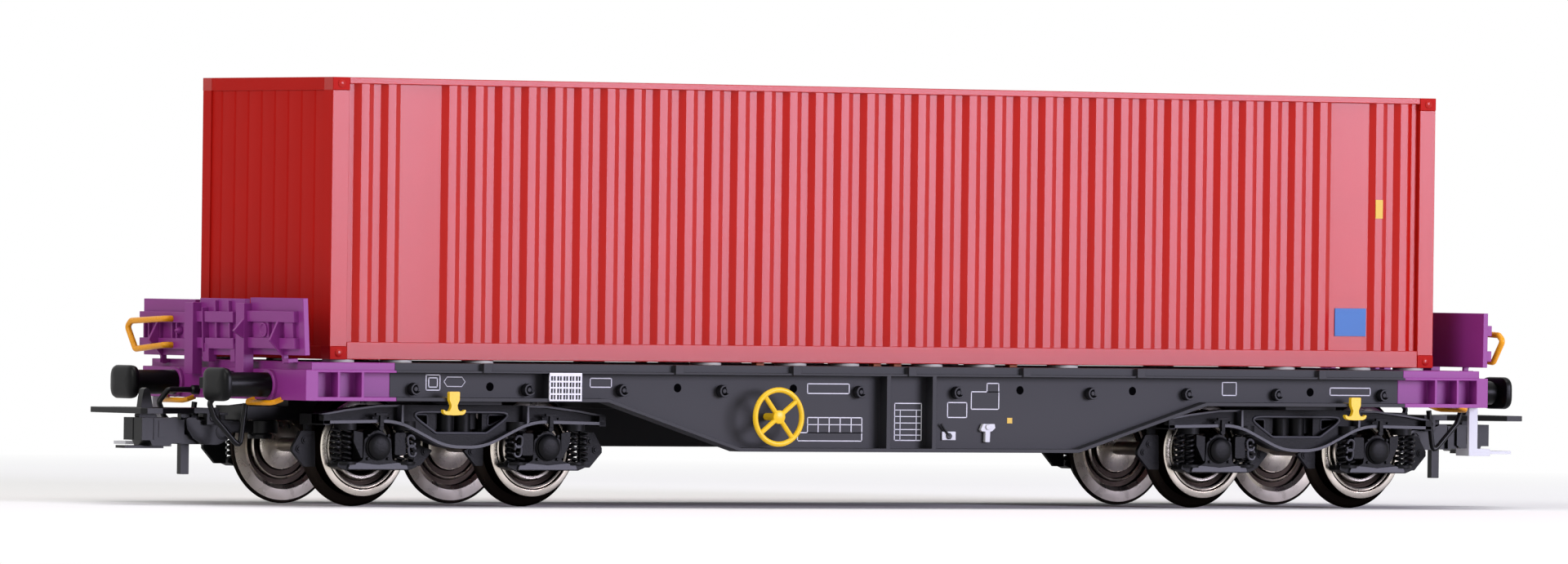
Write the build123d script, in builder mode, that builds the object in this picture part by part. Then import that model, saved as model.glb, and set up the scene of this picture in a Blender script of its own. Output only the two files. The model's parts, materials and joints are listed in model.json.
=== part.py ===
from build123d import *
import os

os.makedirs("parts", exist_ok=True)

# H0 model (1:87) of a four-axle container flatcar with a 40 ft container.
# X runs along the wagon, Y across it, Z up. The origin is in the middle, at the flange tips.
# Near is -Y and far is +Y. The wagon is the same after half a turn about Z.

# Driving sizes, all in millimetres
scale = 87.0

# Wheels, axles and bogie spread
tread_d = 10.57
flange_depth = 1.0
flange_w = 0.9
wheel_w = 2.8
back_to_back = 14.4
hub_r = 1.9
axle_r = 0.75
axle_half = 11.7
journal_clear = 0.05
wheelbase = 20.8
pivot_x = 53.1

# Wagon body
headstock_x = 75.0
headstock_t = 1.1
half_width = 17.7
deck_height = 14.3
strip_h = 0.8
strip_setback = 0.4
ledge_w = 4.0
lip_t = 0.24
end_depth = 3.23
belly_depth = 8.4
belly_start_x = 38.0
belly_low_x = 21.5
sill_recess = 1.5
web_t = 0.8
sill_flange_t = 0.4
colour_break_x = 64.0
deck_end_setback = 0.9
rib_t = 0.3

# End flaps
flap_h = 6.0
flap_t = 0.6
flap_rise = 0.7
flap_w = 11.3
mid_flap_w = 9.8
flap_gap = 1.3
post_w = 1.8
post_t = 1.2

# Buffers
buffer_z = 11.85
buffer_y = 10.06
buffer_len = 7.0
buffer_stock_r = 1.3
buffer_head_w = 5.2
buffer_head_h = 3.55
buffer_head_t = 1.1

# Couplers
coupler_pivot_x = 70.5
coupler_pin_r = 0.8
bow_front_x = 88.0
bow_half_w = 6.0
bow_z = 8.65
bow_t = 0.6
bow_bar = 0.9
bow_corner = 0.5
trip_pin_x = 79.8

# Container, from the real sizes of a 40 ft box
box_l = 12192 / scale
box_w = 2438 / scale
box_h = 2591 / scale
casting_l = 178 / scale
casting_w = 162 / scale
casting_h = 118 / scale
pad_h = 0.3
wall_t = 0.6
corr_pitch = 283 / scale
corr_depth = 32 / scale
corr_outer = 84 / scale
corr_slope = 60 / scale

# Heights worked out from the driving sizes
rail_z = flange_depth
axle_z = rail_z + tread_d / 2
deck_z = rail_z + deck_height
lip_top = deck_z - strip_h
sill_end_z = lip_top - end_depth
belly_z = lip_top - belly_depth
box_z0 = deck_z + pad_h
web_y = half_width - sill_recess
web_in_y = web_y - web_t
strip_out_y = half_width - strip_setback

# Side sills: web, lip, deck strip, bottom flange with the fishbelly, two stiffeners and edge blocks
stiffener_x = 2.9
stiffener_t = 0.5
block_xs = (0, 14.6, -14.6, 29.3, -29.3, 53.0, -53.0)
block_w = 1.0
block_h = 1.0
break_x = colour_break_x
belly_line = [(-break_x, sill_end_z), (-belly_start_x, sill_end_z), (-belly_low_x, belly_z),
              (belly_low_x, belly_z), (belly_start_x, sill_end_z), (break_x, sill_end_z)]

with BuildPart() as side_sill_near:
    with BuildSketch(Plane.XZ.offset(web_in_y)):
        with BuildLine():
            Polyline(*belly_line, (break_x, lip_top), (-break_x, lip_top), close=True)
        make_face()
    extrude(amount=web_t)
    with BuildSketch(Plane.XZ.offset(web_in_y)):
        with BuildLine():
            Polyline(*belly_line, *[(x, z + sill_flange_t) for x, z in reversed(belly_line)], close=True)
        make_face()
    extrude(amount=half_width - web_in_y)
    with Locations((0, -(half_width + web_in_y) / 2, lip_top - lip_t / 2)):
        Box(2 * break_x, half_width - web_in_y, lip_t)
    with Locations((0, -(strip_out_y + web_in_y) / 2, deck_z - strip_h / 2)):
        Box(2 * break_x, strip_out_y - web_in_y, strip_h)
    for x in (-stiffener_x, stiffener_x):
        with Locations((x, -(half_width + web_y) / 2, (lip_top + belly_z) / 2)):
            Box(stiffener_t, half_width - web_y, lip_top - belly_z)
    with Locations([(x, -half_width + block_w / 4, deck_z - block_h / 2) for x in block_xs]):
        Box(block_w, block_w / 2 + strip_setback, block_h)
side_sill_near.part.label = "side_sill_near"
export_step(side_sill_near.part, "parts/side_sill_near.step")

with BuildPart() as side_sill_far:
    mirror(side_sill_near.part, about=Plane.XZ)
side_sill_far.part.label = "side_sill_far"
export_step(side_sill_far.part, "parts/side_sill_far.step")

# Inner frame: a spine between the bolsters, cross bearers, deck ledges, and bolsters with pivot holes
spine_w = 5.0
spine_clear = 0.6
bolster_half = 3.3
bolster_gap = 0.05
pivot_pin_r = 1.5
pivot_pin_l = 2.6
pivot_clear = 0.05
pivot_end_gap = 0.35
bogie_height = 9.85
bogie_top = rail_z + bogie_height
bolster_low_z = bogie_top + bolster_gap
over_wheels_z = rail_z + tread_d + flange_depth + spine_clear
cross_depth = 4.0
cross_z = lip_top - cross_depth
cross_t = 1.0
cross_xs = (8.0, 20.0, 32.0)
spine_mid_x = pivot_x - bolster_half
spine_end_x = pivot_x + bolster_half
bearer_w = web_in_y - spine_w / 2
spine_runs = ((-break_x, -spine_end_x, over_wheels_z), (-spine_mid_x, spine_mid_x, over_wheels_z),
              (-cross_xs[-1], cross_xs[-1], cross_z), (spine_end_x, break_x, over_wheels_z))

with BuildPart() as centre_spine:
    for x0, x1, low_z in spine_runs:
        with Locations(((x0 + x1) / 2, 0, (deck_z + low_z) / 2)):
            Box(x1 - x0, spine_w, deck_z - low_z)
centre_spine.part.label = "centre_spine"
export_step(centre_spine.part, "parts/centre_spine.step")

with BuildPart() as cross_bearers:
    for side in (-1, 1):
        for x in cross_xs:
            for way in (-1, 1):
                with Locations((way * x, side * (spine_w + bearer_w) / 2, (lip_top + cross_z) / 2)):
                    Box(cross_t, bearer_w, lip_top - cross_z)
cross_bearers.part.label = "cross_bearers"
export_step(cross_bearers.part, "parts/cross_bearers.step")

with BuildPart() as deck_ledges:
    for side in (-1, 1):
        with Locations((0, side * (web_in_y - ledge_w / 2), deck_z - strip_h / 2)):
            Box(2 * break_x, ledge_w, strip_h)
deck_ledges.part.label = "deck_ledges"
export_step(deck_ledges.part, "parts/deck_ledges.step")

with BuildPart() as bolsters:
    for x in (-pivot_x, pivot_x):
        with Locations((x, 0, (lip_top + bolster_low_z) / 2)):
            Box(2 * bolster_half, 2 * web_in_y, lip_top - bolster_low_z)
        with Locations((x, 0, bolster_low_z)):
            Cylinder(pivot_pin_r + pivot_clear, pivot_pin_l + pivot_end_gap,
                     align=(Align.CENTER, Align.CENTER, Align.MIN), mode=Mode.SUBTRACT)
bolsters.part.label = "bolsters"
export_step(bolsters.part, "parts/bolsters.step")

# End frames: sill ends with ribs, headstock, end deck and the posts that hold the flaps
rib_xs = (68.1, 71.0)
end_post_t = 1.5
deck_end_x = headstock_x - deck_end_setback
flap_z0 = deck_z + flap_rise
flap_x0 = headstock_x - flap_t
post_y = mid_flap_w / 2 + flap_gap / 2
post_top = flap_z0 + flap_h - 0.6
post_foot_z = deck_z - 1.5
end_mid_x = (break_x + headstock_x) / 2
end_len = headstock_x - break_x

with BuildPart() as end_frame_right:
    for side in (-1, 1):
        with Locations((end_mid_x, side * (web_in_y + web_t / 2), (lip_top + sill_end_z) / 2)):
            Box(end_len, web_t, end_depth)
        for z, t in ((lip_top - lip_t / 2, lip_t), (sill_end_z + sill_flange_t / 2, sill_flange_t)):
            with Locations((end_mid_x, side * (half_width + web_in_y) / 2, z)):
                Box(end_len, half_width - web_in_y, t)
        for x in rib_xs:
            with Locations((x, side * (half_width + web_y) / 2, (lip_top + sill_end_z) / 2)):
                Box(rib_t, sill_recess, end_depth)
        with Locations((headstock_x - end_post_t / 2, side * (half_width + web_y) / 2,
                        (lip_top + sill_end_z) / 2)):
            Box(end_post_t, sill_recess, end_depth)
    with Locations((headstock_x - headstock_t / 2, 0, (lip_top + sill_end_z) / 2)):
        Box(headstock_t, 2 * half_width, end_depth)
    with Locations(((break_x + deck_end_x) / 2, 0, deck_z - strip_h / 2)):
        Box(deck_end_x - break_x, 2 * strip_out_y, strip_h)
    for y in (-post_y, post_y):
        with Locations((headstock_x + post_t / 2, y, (post_top + post_foot_z) / 2)):
            Box(post_t, post_w, post_top - post_foot_z)
end_frame_right.part.label = "end_frame_right"
export_step(end_frame_right.part, "parts/end_frame_right.step")

with BuildPart() as end_frame_left:
    add(end_frame_right.part, rotation=(0, 0, 180))
end_frame_left.part.label = "end_frame_left"
export_step(end_frame_left.part, "parts/end_frame_left.step")

# End flaps: three panels an end, each with two bars, a gusset and a foot on the end deck.
# The panel that carries the handle sits a little lower than its neighbours.
bar_w = 0.6
bar_h = 1.15
bar_rises = (1.55, 4.35)
gusset_t = 0.4
gusset_out = 1.7
gusset_rise = 2.0
handle_flap_drop = 0.3
outer_flap_y = post_y + flap_gap / 2 + flap_w / 2
foot_z = deck_z - strip_h
# Columns: middle in Y, width, how much lower than flap_z0
flap_places = ((-outer_flap_y, flap_w, handle_flap_drop), (0.0, mid_flap_w, handle_flap_drop / 2),
               (outer_flap_y, flap_w, 0.0))
bar_zs = [flap_z0 - handle_flap_drop + rise for rise in bar_rises]

with BuildPart() as end_flaps_right:
    for y, w, drop in flap_places:
        low_z = flap_z0 - drop
        bar_top_z = low_z + bar_rises[1] + bar_h / 2
        with Locations((flap_x0 + flap_t / 2, y, low_z + flap_h / 2)):
            Box(flap_t, w, flap_h)
        for rise in bar_rises:
            with Locations((headstock_x + bar_w / 2, y, low_z + rise)):
                Box(bar_w, w - 2.2, bar_h)
        with BuildSketch(Plane.XZ.offset(-y - gusset_t / 2)):
            with BuildLine():
                Polyline((flap_x0, bar_top_z), (headstock_x + bar_w, bar_top_z),
                         (headstock_x + gusset_out, low_z + gusset_rise), (headstock_x + 0.1, low_z + 0.2),
                         (headstock_x, foot_z), (flap_x0, foot_z), close=True)
            make_face()
        extrude(amount=gusset_t)
end_flaps_right.part.label = "end_flaps_right"
export_step(end_flaps_right.part, "parts/end_flaps_right.step")

with BuildPart() as end_flaps_left:
    add(end_flaps_right.part, rotation=(0, 0, 180))
end_flaps_left.part.label = "end_flaps_left"
export_step(end_flaps_left.part, "parts/end_flaps_left.step")

# Buffers: a stock and an oblong head, a pair on each headstock
buffer_face_x = headstock_x + buffer_len
buffer_cz = rail_z + buffer_z

with BuildPart() as buffers_right:
    for y in (-buffer_y, buffer_y):
        with BuildSketch(Plane.YZ.offset(headstock_x)):
            with Locations((y, buffer_cz)):
                Circle(buffer_stock_r)
        extrude(amount=buffer_len - buffer_head_t)
        with BuildSketch(Plane.YZ.offset(buffer_face_x - buffer_head_t)):
            with Locations((y, buffer_cz)):
                RectangleRounded(buffer_head_w, buffer_head_h, 1.4)
        extrude(amount=buffer_head_t)
    fillet(buffers_right.edges().group_by(Axis.X)[-1], 0.4)
buffers_right.part.label = "buffers_right"
export_step(buffers_right.part, "parts/buffers_right.step")

with BuildPart() as buffers_left:
    add(buffers_right.part, rotation=(0, 0, 180))
buffers_left.part.label = "buffers_left"
export_step(buffers_left.part, "parts/buffers_left.step")

# Draw gear: a plate and a hook shank in the middle of each headstock
draw_w = 4.4
draw_h = 2.6
draw_t = 0.5
draw_out = 2.2

with BuildPart() as draw_gear:
    for end in (-1, 1):
        with Locations((end * (headstock_x + draw_t / 2), 0, (lip_top + sill_end_z) / 2)):
            Box(draw_t, draw_w, draw_h)
        with Locations((end * (headstock_x + draw_t + draw_out / 2), 0, (lip_top + sill_end_z) / 2)):
            Box(draw_out, 0.9, 1.2)
draw_gear.part.label = "draw_gear"
export_step(draw_gear.part, "parts/draw_gear.step")

# Brake hoses: stiff moulded loops that hang in front of each headstock
hose_r = 0.35
hose_y = 5.5
hose_path = ((headstock_x - 0.5, sill_end_z), (headstock_x - 0.5, rail_z + 8.4),
             (headstock_x + 0.2, rail_z + 5.8), (headstock_x + 3.0, rail_z + 8.6),
             (headstock_x + 3.2, rail_z + 11.1), (headstock_x, rail_z + 11.1))

with BuildPart() as brake_hoses:
    for turn in (0, 180):
        for y in (-hose_y, hose_y):
            with BuildLine(Plane.XY.rotated((0, 0, turn))) as hose_line:
                FilletPolyline(*[(x, y, z) for x, z in hose_path], radius=0.7)
            with BuildSketch(Plane(hose_line.line @ 0, z_dir=hose_line.line % 0)):
                Circle(hose_r)
            sweep(path=hose_line.line)
brake_hoses.part.label = "brake_hoses"
export_step(brake_hoses.part, "parts/brake_hoses.step")

# Shunter's handles: yellow bent rods under each headstock, below the buffers
rod_r = 0.25
grip_ys = (6.2, 12.4)
grip_drop = 0.9

with BuildPart() as shunter_handles:
    for end in (-1, 1):
        for side in (-1, 1):
            x = end * (headstock_x - headstock_t / 2)
            with BuildLine() as grip_line:
                FilletPolyline((x, side * grip_ys[0], sill_end_z),
                               (x, side * grip_ys[0], sill_end_z - grip_drop),
                               (x, side * grip_ys[1], sill_end_z - grip_drop),
                               (x, side * grip_ys[1], sill_end_z), radius=0.6)
            with BuildSketch(Plane(grip_line.line @ 0, z_dir=grip_line.line % 0)):
                Circle(rod_r)
            sweep(path=grip_line.line)
shunter_handles.part.label = "shunter_handles"
export_step(shunter_handles.part, "parts/shunter_handles.step")

# Flap handles: yellow bent rods on one outer flap of each end
handle_r = 0.33
handle_bend_r = 0.4
handle_bar_lap = 0.45
handle_root_x = headstock_x + bar_w
handle_knee_x = handle_root_x + 0.9
handle_x = headstock_x + 1.9
handle_root_y = outer_flap_y - 1.65
handle_tip_y = outer_flap_y + flap_w / 2 + 0.2
handle_top_z = bar_zs[1] - handle_bar_lap
handle_low_z = bar_zs[0] - handle_bar_lap
handle_route = ((handle_root_x, -handle_root_y, handle_top_z),
                (handle_knee_x, -handle_root_y, handle_top_z),
                (handle_x, -handle_tip_y + 0.8, handle_top_z - 0.3),
                (handle_x, -handle_tip_y, handle_top_z - 0.9),
                (handle_x, -handle_tip_y + 1.8, handle_low_z - 0.5),
                (handle_knee_x, -handle_root_y, handle_low_z),
                (handle_root_x, -handle_root_y, handle_low_z))

with BuildPart() as flap_handles:
    for turn in (0, 180):
        with BuildLine(Plane.XY.rotated((0, 0, turn))) as handle_line:
            FilletPolyline(*handle_route, radius=handle_bend_r)
        with BuildSketch(Plane(handle_line.line @ 0, z_dir=handle_line.line % 0)):
            Circle(handle_r)
        sweep(path=handle_line.line)
flap_handles.part.label = "flap_handles"
export_step(flap_handles.part, "parts/flap_handles.step")

# Corner steps: a strip under the sill and a foot plate, on two opposite corners
step_y = 15.6
strap_w = 1.15
strap_t = 0.4
step_len = 5.65
step_foot_len = 2.85
step_w = 2.6
step_t = 0.8
step_blade_t = 0.35
step_drop = 5.35

with BuildPart() as corner_steps:
    for turn in (0, 180):
        with Locations(Rotation(0, 0, turn)):
            with Locations((headstock_x - strap_w / 2, -step_y, sill_end_z - step_drop / 2)):
                Box(strap_w, strap_t, step_drop)
            for length, thick in ((step_foot_len, step_t), (step_len, step_blade_t)):
                with Locations((headstock_x - strap_w + length / 2, -step_y + step_w / 2 - strap_t / 2,
                                sill_end_z - step_drop + step_t / 2)):
                    Box(length, step_w, thick)
corner_steps.part.label = "corner_steps"
export_step(corner_steps.part, "parts/corner_steps.step")

# Handwheels: rim, four spokes, hub and a stub to the sill's web
handwheel_x = 17.4
handwheel_z = rail_z + 8.84
handwheel_r = 3.25
rim_w = 0.75
rim_t = 0.6
handwheel_gap = 0.7

with BuildPart() as handwheels:
    for turn in (0, 180):
        with BuildSketch(Plane.XZ.rotated((0, 0, turn)).offset(half_width + handwheel_gap)):
            with Locations((-handwheel_x, handwheel_z)):
                Circle(handwheel_r)
                Circle(handwheel_r - rim_w, mode=Mode.SUBTRACT)
                for angle in (45, 135):
                    Rectangle(2 * handwheel_r - rim_w, rim_w * 0.8, rotation=angle)
                Circle(0.7)
        extrude(amount=rim_t)
        with BuildSketch(Plane.XZ.rotated((0, 0, turn)).offset(web_y)):
            with Locations((-handwheel_x, handwheel_z)):
                Circle(0.45)
        extrude(amount=half_width + handwheel_gap - web_y)
handwheels.part.label = "handwheels"
export_step(handwheels.part, "parts/handwheels.step")

# Brake changeover levers: yellow T pieces below the sill, two a side
t_lever_x = 57.2
t_stem_w = 1.3
t_stem_h = 2.5
t_bar_w = 2.8
t_bar_h = 0.6
t_lever_t = 0.5
t_low_z = sill_end_z - 1.45

with BuildPart() as t_levers:
    for side in (-1, 1):
        for x in (-t_lever_x, t_lever_x):
            with Locations((x, side * (half_width + t_lever_t / 2), t_low_z + t_stem_h / 2)):
                Box(t_stem_w, t_lever_t, t_stem_h)
            with Locations((x, side * (half_width + t_lever_t / 2), t_low_z + t_bar_h / 2)):
                Box(t_bar_w, t_lever_t, t_bar_h)
t_levers.part.label = "t_levers"
export_step(t_levers.part, "parts/t_levers.step")

# Levers and taps: small bright pieces on the web
with BuildPart() as levers_and_taps:
    for turn in (0, 180):
        with Locations(Rotation(0, 0, turn)):
            with Locations((5.3, -web_y - 0.2, rail_z + 6.9)):
                Box(1.8, 0.4, 1.0)
            with Locations((10.2, -web_y - 0.3, rail_z + 7.2)):
                Box(0.7, 0.6, 2.0)
            with Locations((10.2, -web_y - 0.3, rail_z + 7.8)):
                Box(1.7, 0.6, 0.8)
levers_and_taps.part.label = "levers_and_taps"
export_step(levers_and_taps.part, "parts/levers_and_taps.step")

# Lattice boards: one a side, for wagon labels
board_x = 43.4
board_w = 4.0
board_h = 3.0
board_t = 0.2

with BuildPart() as lattice_boards:
    for turn in (0, 180):
        with Locations(Rotation(0, 0, turn)):
            with Locations((-board_x, -half_width - board_t / 2, (lip_top + sill_end_z) / 2)):
                Box(board_w, board_t, board_h)
lattice_boards.part.label = "lattice_boards"
export_step(lattice_boards.part, "parts/lattice_boards.step")

# Lashing hooks: ten a side on the web
hook_xs = (6.2, 23.4, 35.9, 47.6, 61.5)
hook_w = 0.8
hook_h = 1.3
hook_out = 1.0
hook_z = rail_z + 11.4

with BuildPart() as lashing_hooks:
    for side in (-1, 1):
        for x in hook_xs:
            for way in (-1, 1):
                with Locations((way * x, side * (web_y + hook_out / 2), hook_z)):
                    Box(hook_w, hook_out, hook_h * 0.5)
                with Locations((way * x, side * (web_y + hook_out - 0.15), hook_z + hook_h * 0.2)):
                    Box(hook_w, 0.3, hook_h)
lashing_hooks.part.label = "lashing_hooks"
export_step(lashing_hooks.part, "parts/lashing_hooks.step")

# Deck pads and spigots that the container stands on
pad_r = 1.7
pad_xs = (5.3, 12.0, 22.7, 51.0, 61.0, 68.0)
pad_y = 12.2
spigot_xs = (1.3, 16.1)
spigot_w = 1.0

with BuildPart() as deck_pads:
    for side in (-1, 1):
        for x in pad_xs:
            with Locations((x, side * pad_y, deck_z), (-x, side * pad_y, deck_z)):
                Cylinder(pad_r, pad_h, align=(Align.CENTER, Align.CENTER, Align.MIN))
deck_pads.part.label = "deck_pads"
export_step(deck_pads.part, "parts/deck_pads.step")

with BuildPart() as spigots:
    for side in (-1, 1):
        for x in spigot_xs:
            with Locations((x, side * pad_y, deck_z + pad_h / 2), (-x, side * pad_y, deck_z + pad_h / 2)):
                Box(spigot_w, spigot_w, pad_h)
spigots.part.label = "spigots"
export_step(spigots.part, "parts/spigots.step")

# Air tank and brake cylinder under the cross bearers
tank_r = 2.2
tank_len = 16.0
tank_y = 7.5
cylinder_r = 1.6
cylinder_len = 9.0
dome_share = 0.4

with BuildPart() as air_tank_and_cylinder:
    for x0, length, y, r in ((cross_xs[0] - 3, tank_len, tank_y, tank_r),
                             (-cross_xs[1] - 1, cylinder_len, -tank_y, cylinder_r)):
        with BuildSketch(Plane.YZ.offset(x0)):
            with Locations((y, cross_z - r)):
                Circle(r)
        extrude(amount=length)
        fillet(air_tank_and_cylinder.edges(Select.LAST).filter_by(GeomType.CIRCLE), dome_share * r)
        for x in (x0 + 2.0, x0 + length - 2.0):
            with Locations((x, y, cross_z - r / 2)):
                Box(1.0, 1.2, r)
air_tank_and_cylinder.part.label = "air_tank_and_cylinder"
export_step(air_tank_and_cylinder.part, "parts/air_tank_and_cylinder.step")

# Springs and their seats on the axleboxes
spring_r = 1.2
spring_dx = 3.6
spring_turns = 5
spring_wave = 0.25
spring_y = 12.3
spring_top_z = rail_z + 6.8
saddle_z = rail_z + 3.8
axle_xs = (pivot_x - wheelbase / 2, pivot_x + wheelbase / 2)
spring_places = [(x + dx, side * spring_y) for x in axle_xs
                 for dx in (-spring_dx, spring_dx) for side in (-1, 1)]

# Bogies: side frames with windows, spring cups, a bolster with a pivot pin, and brake hangers
side_in_y = 10.9
side_web_t = 1.6
side_rim_y = 13.5
side_rim_t = 0.35
arm_end = 17.4
arm_stub_l = 0.8
arm_stub_in_y = 8.3
arm_top_z = rail_z + 8.8
arm_low_z = rail_z + 7.7
side_belly_z = rail_z + 5.3
window_top_z = rail_z + 9.2
window_low_z = rail_z + 6.9
bogie_bolster_half = 2.8
bogie_bolster_h = 2.6
hanger_t = 0.6
hanger_in_y = side_in_y - 1.6
hanger_strap_w = 0.9
outer_strap_x = 16.45
inner_strap_x = 3.4
outer_lug_z = rail_z + 7.7
inner_lug_z = rail_z + 6.4
hanger_lug_h = 0.6
hanger_low_z = rail_z + 3.15
pin_eye_z = rail_z + 5.0
half_top = [(10.3, bogie_top), (arm_end, arm_top_z)]
half_low = [(arm_end, arm_low_z), (7.9, arm_low_z), (5.4, window_low_z - 0.1), (2.2, side_belly_z)]
low_line = half_low + [(-x, z) for x, z in reversed(half_low)]
frame_outline = half_top + low_line + [(-x, z) for x, z in reversed(half_top)]
rim_outline = low_line + [(x, z + side_rim_t) for x, z in reversed(low_line)]
outer_edge_x = outer_strap_x + hanger_strap_w
inner_edge_x = inner_strap_x + hanger_strap_w
outer_hanger = [(outer_strap_x, outer_lug_z + hanger_lug_h), (outer_edge_x, outer_lug_z + hanger_lug_h),
                (outer_edge_x, pin_eye_z + 1.8), (outer_edge_x + 2.0, pin_eye_z + 0.3),
                (outer_edge_x + 2.0, pin_eye_z - 0.4), (outer_edge_x + 0.7, hanger_low_z + 0.1),
                (outer_strap_x, hanger_low_z)]
inner_hanger = [(inner_strap_x, inner_lug_z + hanger_lug_h), (inner_edge_x, inner_lug_z + hanger_lug_h),
                (inner_edge_x, hanger_low_z + 0.2), (inner_strap_x, hanger_low_z + 0.2),
                (inner_strap_x - 1.5, pin_eye_z + 0.15), (inner_strap_x, pin_eye_z + 0.5)]

with BuildPart() as bogie_frame_right:
    for side in (-1, 1):
        web_plane = Plane.XZ.offset(side_in_y if side < 0 else -side_in_y - side_web_t)
        with BuildSketch(web_plane):
            with BuildLine():
                Polyline(*[(pivot_x + x, z) for x, z in frame_outline], close=True)
            make_face()
            with BuildLine():
                Polyline((pivot_x - 6.2, window_top_z), (pivot_x + 6.2, window_top_z),
                         (pivot_x + 3.0, window_low_z), (pivot_x - 3.0, window_low_z), close=True)
            make_face(mode=Mode.SUBTRACT)
            for x in (-2.2, 0, 2.2):
                with Locations((pivot_x + x, (window_top_z + window_low_z) / 2)):
                    Rectangle(0.35, window_top_z - window_low_z)
        extrude(amount=side_web_t)
        with BuildSketch(Plane.XZ.offset(side_in_y if side < 0 else -side_rim_y)):
            with BuildLine():
                Polyline(*[(pivot_x + x, z) for x, z in rim_outline], close=True)
            make_face()
        extrude(amount=side_rim_y - side_in_y)
        for outline, strap_x, lug_z in ((outer_hanger, outer_strap_x, outer_lug_z),
                                        (inner_hanger, inner_strap_x, inner_lug_z)):
            for way in (-1, 1):
                with BuildSketch(Plane.XZ.offset(hanger_in_y if side < 0 else -hanger_in_y - hanger_t)):
                    with BuildLine():
                        Polyline(*[(pivot_x + way * x, z) for x, z in outline], close=True)
                    make_face()
                extrude(amount=hanger_t)
                with Locations((pivot_x + way * (strap_x + hanger_strap_w / 2),
                                side * (hanger_in_y + side_in_y) / 2, lug_z + hanger_lug_h / 2)):
                    Box(hanger_strap_w, side_in_y - hanger_in_y, hanger_lug_h)
        for way in (-1, 1):
            with Locations((pivot_x + way * (arm_end - arm_stub_l / 2), side * (arm_stub_in_y + side_rim_y) / 2,
                            (arm_low_z + arm_top_z) / 2)):
                Box(arm_stub_l, side_rim_y - arm_stub_in_y, arm_top_z - arm_low_z)
    with Locations([(x, y, spring_top_z) for x, y in spring_places]):
        Cylinder(spring_r, arm_low_z + side_rim_t - spring_top_z,
                 align=(Align.CENTER, Align.CENTER, Align.MIN))
    with Locations((pivot_x, 0, bogie_top - bogie_bolster_h / 2)):
        Box(2 * bogie_bolster_half, 2 * side_in_y, bogie_bolster_h)
    with Locations((pivot_x, 0, bogie_top)):
        Cylinder(pivot_pin_r, pivot_pin_l, align=(Align.CENTER, Align.CENTER, Align.MIN))
bogie_frame_right.part.label = "bogie_frame_right"
export_step(bogie_frame_right.part, "parts/bogie_frame_right.step")

# Axleboxes: a saddle under the springs, a box with a blind bearing hole and a round cover
box_half = 1.8
saddle_half = 4.9
saddle_t = 0.9
axlebox_top = rail_z + 7.1
axlebox_in_y = side_in_y - 0.2
axlebox_out_y = 13.0
cover_r = 1.33
cover_t = 0.7

with BuildPart() as axleboxes_right:
    for axle_x in axle_xs:
        for side in (-1, 1):
            mid_y = side * (axlebox_in_y + axlebox_out_y) / 2
            depth = axlebox_out_y - axlebox_in_y
            with Locations((axle_x, mid_y, (axlebox_top + saddle_z - saddle_t) / 2)):
                Box(2 * box_half, depth, axlebox_top - saddle_z + saddle_t)
            with Locations((axle_x, mid_y, saddle_z - saddle_t / 2)):
                Box(2 * saddle_half, depth, saddle_t)
            with BuildSketch(Plane.XZ.offset(-side * axlebox_out_y if side > 0 else axlebox_out_y)):
                with Locations((axle_x, axle_z)):
                    Circle(cover_r)
            extrude(amount=-side * cover_t)
            with BuildSketch(Plane.XZ.offset(-side * axlebox_in_y if side > 0 else axlebox_in_y)):
                with Locations((axle_x, axle_z)):
                    Circle(axle_r + journal_clear)
            extrude(amount=-side * (axle_half + 0.2 - axlebox_in_y), mode=Mode.SUBTRACT)
axleboxes_right.part.label = "axleboxes_right"
export_step(axleboxes_right.part, "parts/axleboxes_right.step")

# Springs: a coil each side of every axlebox, between its saddle and the frame's cup
spring_step = (spring_top_z - saddle_z) / spring_turns
coil_outline = [(0, saddle_z)]
for turn in range(spring_turns):
    coil_outline += [(spring_r - spring_wave, saddle_z + turn * spring_step),
                     (spring_r, saddle_z + (turn + 0.5) * spring_step)]
coil_outline += [(spring_r - spring_wave, spring_top_z), (0, spring_top_z)]

with BuildPart() as springs_right:
    for x, y in spring_places:
        with BuildSketch(Plane(origin=(x, y, 0), x_dir=(1, 0, 0), z_dir=(0, -1, 0))):
            with BuildLine():
                Polyline(*coil_outline, close=True)
            make_face()
        revolve(axis=Axis((x, y, 0), (0, 0, 1)))
springs_right.part.label = "springs_right"
export_step(springs_right.part, "parts/springs_right.step")

for name, source in (("bogie_frame_left", bogie_frame_right), ("axleboxes_left", axleboxes_right),
                     ("springs_left", springs_right)):
    with BuildPart() as turned:
        add(source.part, rotation=(0, 0, 180))
    turned.part.label = name
    export_step(turned.part, f"parts/{name}.step")

# Wheelsets: two wheels turned from one profile, on an axle
wheel_in_y = back_to_back / 2
wheel_out_y = wheel_in_y + wheel_w
tread_r = tread_d / 2
rim_in_r = tread_r - 1.0
wheel_profile = [(axle_r, wheel_in_y), (tread_r + flange_depth - 0.3, wheel_in_y),
                 (tread_r + flange_depth, wheel_in_y + 0.3),
                 (tread_r + flange_depth * 0.5, wheel_in_y + flange_w),
                 (tread_r, wheel_in_y + flange_w + 0.2), (tread_r - 0.1, wheel_out_y),
                 (rim_in_r, wheel_out_y), (rim_in_r - 0.4, wheel_out_y - 0.8),
                 (hub_r + 0.3, wheel_out_y - 1.0), (hub_r, wheel_out_y - 0.3), (axle_r, wheel_out_y - 0.3)]
wheelset_xs = {"1": -pivot_x - wheelbase / 2, "2": -pivot_x + wheelbase / 2,
               "3": pivot_x - wheelbase / 2, "4": pivot_x + wheelbase / 2}

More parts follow.
